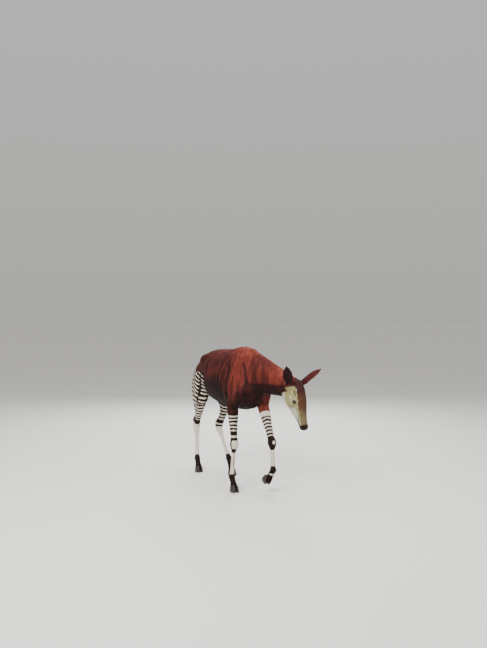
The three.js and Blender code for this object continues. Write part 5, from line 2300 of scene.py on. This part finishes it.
@dataclass(frozen=True)
class Studio:
    """The photograph's viewpoint, a pale floor and soft light."""

    shift: Array
    eye: Array = field(default_factory=lambda: at(6820, -3444, 1850))
    look: tuple = (0.4305, 0.9026)
    pan: float = math.radians(0.84)
    pitch: float = math.radians(0.56)
    lens: float = 39.72
    heart: tuple = (0, 0.2, 0.9)
    lamps: tuple = (
        ("key", (-4.5, -3.5, 5.5), 3.0, 560),
        ("fill", (3.5, -5.5, 3.0), 4.0, 150),
        ("back", (2.5, 5.5, 4.5), 3.5, 380),
        ("top", (0.0, 0.5, 6.5), 5.0, 260),
    )

    def aim(self) -> None:
        """Makes the camera."""
        data = bpy.data.cameras.new("viewpoint")
        data.lens = self.lens
        data.sensor_width = 36.0
        data.clip_end = 200.0
        camera = bpy.data.objects.new("viewpoint", data)
        bpy.context.scene.collection.objects.link(camera)
        bpy.context.scene.camera = camera
        heading = math.atan2(self.look[1], self.look[0]) - self.pan
        flat = math.cos(self.pitch)
        way = Vector((math.cos(heading) * flat, math.sin(heading) * flat, -math.sin(self.pitch)))
        camera.location = (self.eye + self.shift) * METRES
        camera.rotation_euler = way.to_track_quat("-Z", "Y").to_euler()

    def lamp(self, name: str, place: tuple, size: float, power: float) -> None:
        """Adds a soft lamp that points at the animal.

        Args:
            name: Its name.
            place: Where it stands, in metres.
            size: Its width in metres.
            power: Its power in watts.
        """
        data = bpy.data.lights.new(name, "AREA")
        data.size = size
        data.energy = power
        lamp = bpy.data.objects.new(name, data)
        bpy.context.scene.collection.objects.link(lamp)
        lamp.location = place
        lamp.rotation_euler = (Vector(self.heart) - Vector(place)).to_track_quat("-Z", "Y").to_euler()

    def light(self) -> None:
        """Adds the lamps, the pale surroundings and the floor."""
        for lamp in self.lamps:
            self.lamp(*lamp)
        world = bpy.data.worlds.new("studio")
        bpy.context.scene.world = world
        world.use_nodes = True
        tree = world.node_tree
        # Dimmer at eye level than overhead, so that the far floor and the surroundings are equally bright
        way = add_node(tree, "TexCoord", output="Generated")
        height = add_node(tree, "SeparateXYZ", {0: way}, "Z")
        share = add_node(tree, "MapRange", {0: height, 1: 0.0, 2: 1.0})
        ends = {0: share, 6: linear("#C9C8C5"), 7: linear("#F2F2F2")}
        tint = add_node(tree, "Mix", ends, 2, data_type="RGBA")
        tree.links.new(tint, tree.nodes["Background"].inputs["Color"])
        tree.nodes["Background"].inputs["Strength"].default_value = 0.85
        bpy.ops.object.select_all(action="DESELECT")
        bpy.ops.mesh.primitive_plane_add(size=400, location=(0, 0, 0))
        floor = bpy.context.object
        floor.name = "studio_floor"
        floor.data.materials.append(FloorFinish().build())


def dress(piece: Piece, material: Material, nodes: tuple = ()) -> None:
    """Gives a finished piece its material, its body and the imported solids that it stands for.

    Args:
        piece: The piece.
        material: Its finish.
        nodes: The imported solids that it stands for.
    """
    piece.data.materials.clear()
    piece.data.materials.append(material)
    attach(piece, BODY)
    if nodes:
        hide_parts(*nodes)
    log.info("%s: %d faces", piece.name, len(piece.data.polygons))


def main() -> None:
    """Builds the animal piece by piece."""
    logging.basicConfig(level=logging.INFO, format="%(relativeCreated)d %(message)s")
    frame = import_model()
    low, high = (np.array(corner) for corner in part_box("right_eye"))
    shift = (low + high) / 2 / METRES - EYES[1].centre
    shift[2] = 0
    studio = Studio(shift)
    studio.aim()
    hair, wet, horn = CoatFinish().build(), EyeFinish().build(), HornFinish().build()
    flesh = [name for name in frame["nodes"] if not name.endswith(("_eye", "_hoof"))]
    skin = Skin(Body(), shift)
    dress(skin.build(), hair, tuple(flesh))
    marks = Markings(skin).collect()
    for key, values in marks.items():
        store(skin.piece, key, values)
    for patch, piece in zip(PATCHES, Coat(skin, marks).build()):
        dress(piece, hair)
    for piece in LongHair(skin).build():
        dress(piece, hair)
    for eye in EYES:
        dress(eye.build(shift), wet, ("left_eye" if eye.side > 0 else "right_eye",))
    for leg in LEGS:
        for side in (-1, 1):
            claw = Claw(leg, side)
            dress(claw.build(shift), horn, (claw.node,))
    studio.light()


if __name__ == "__main__":
    main()
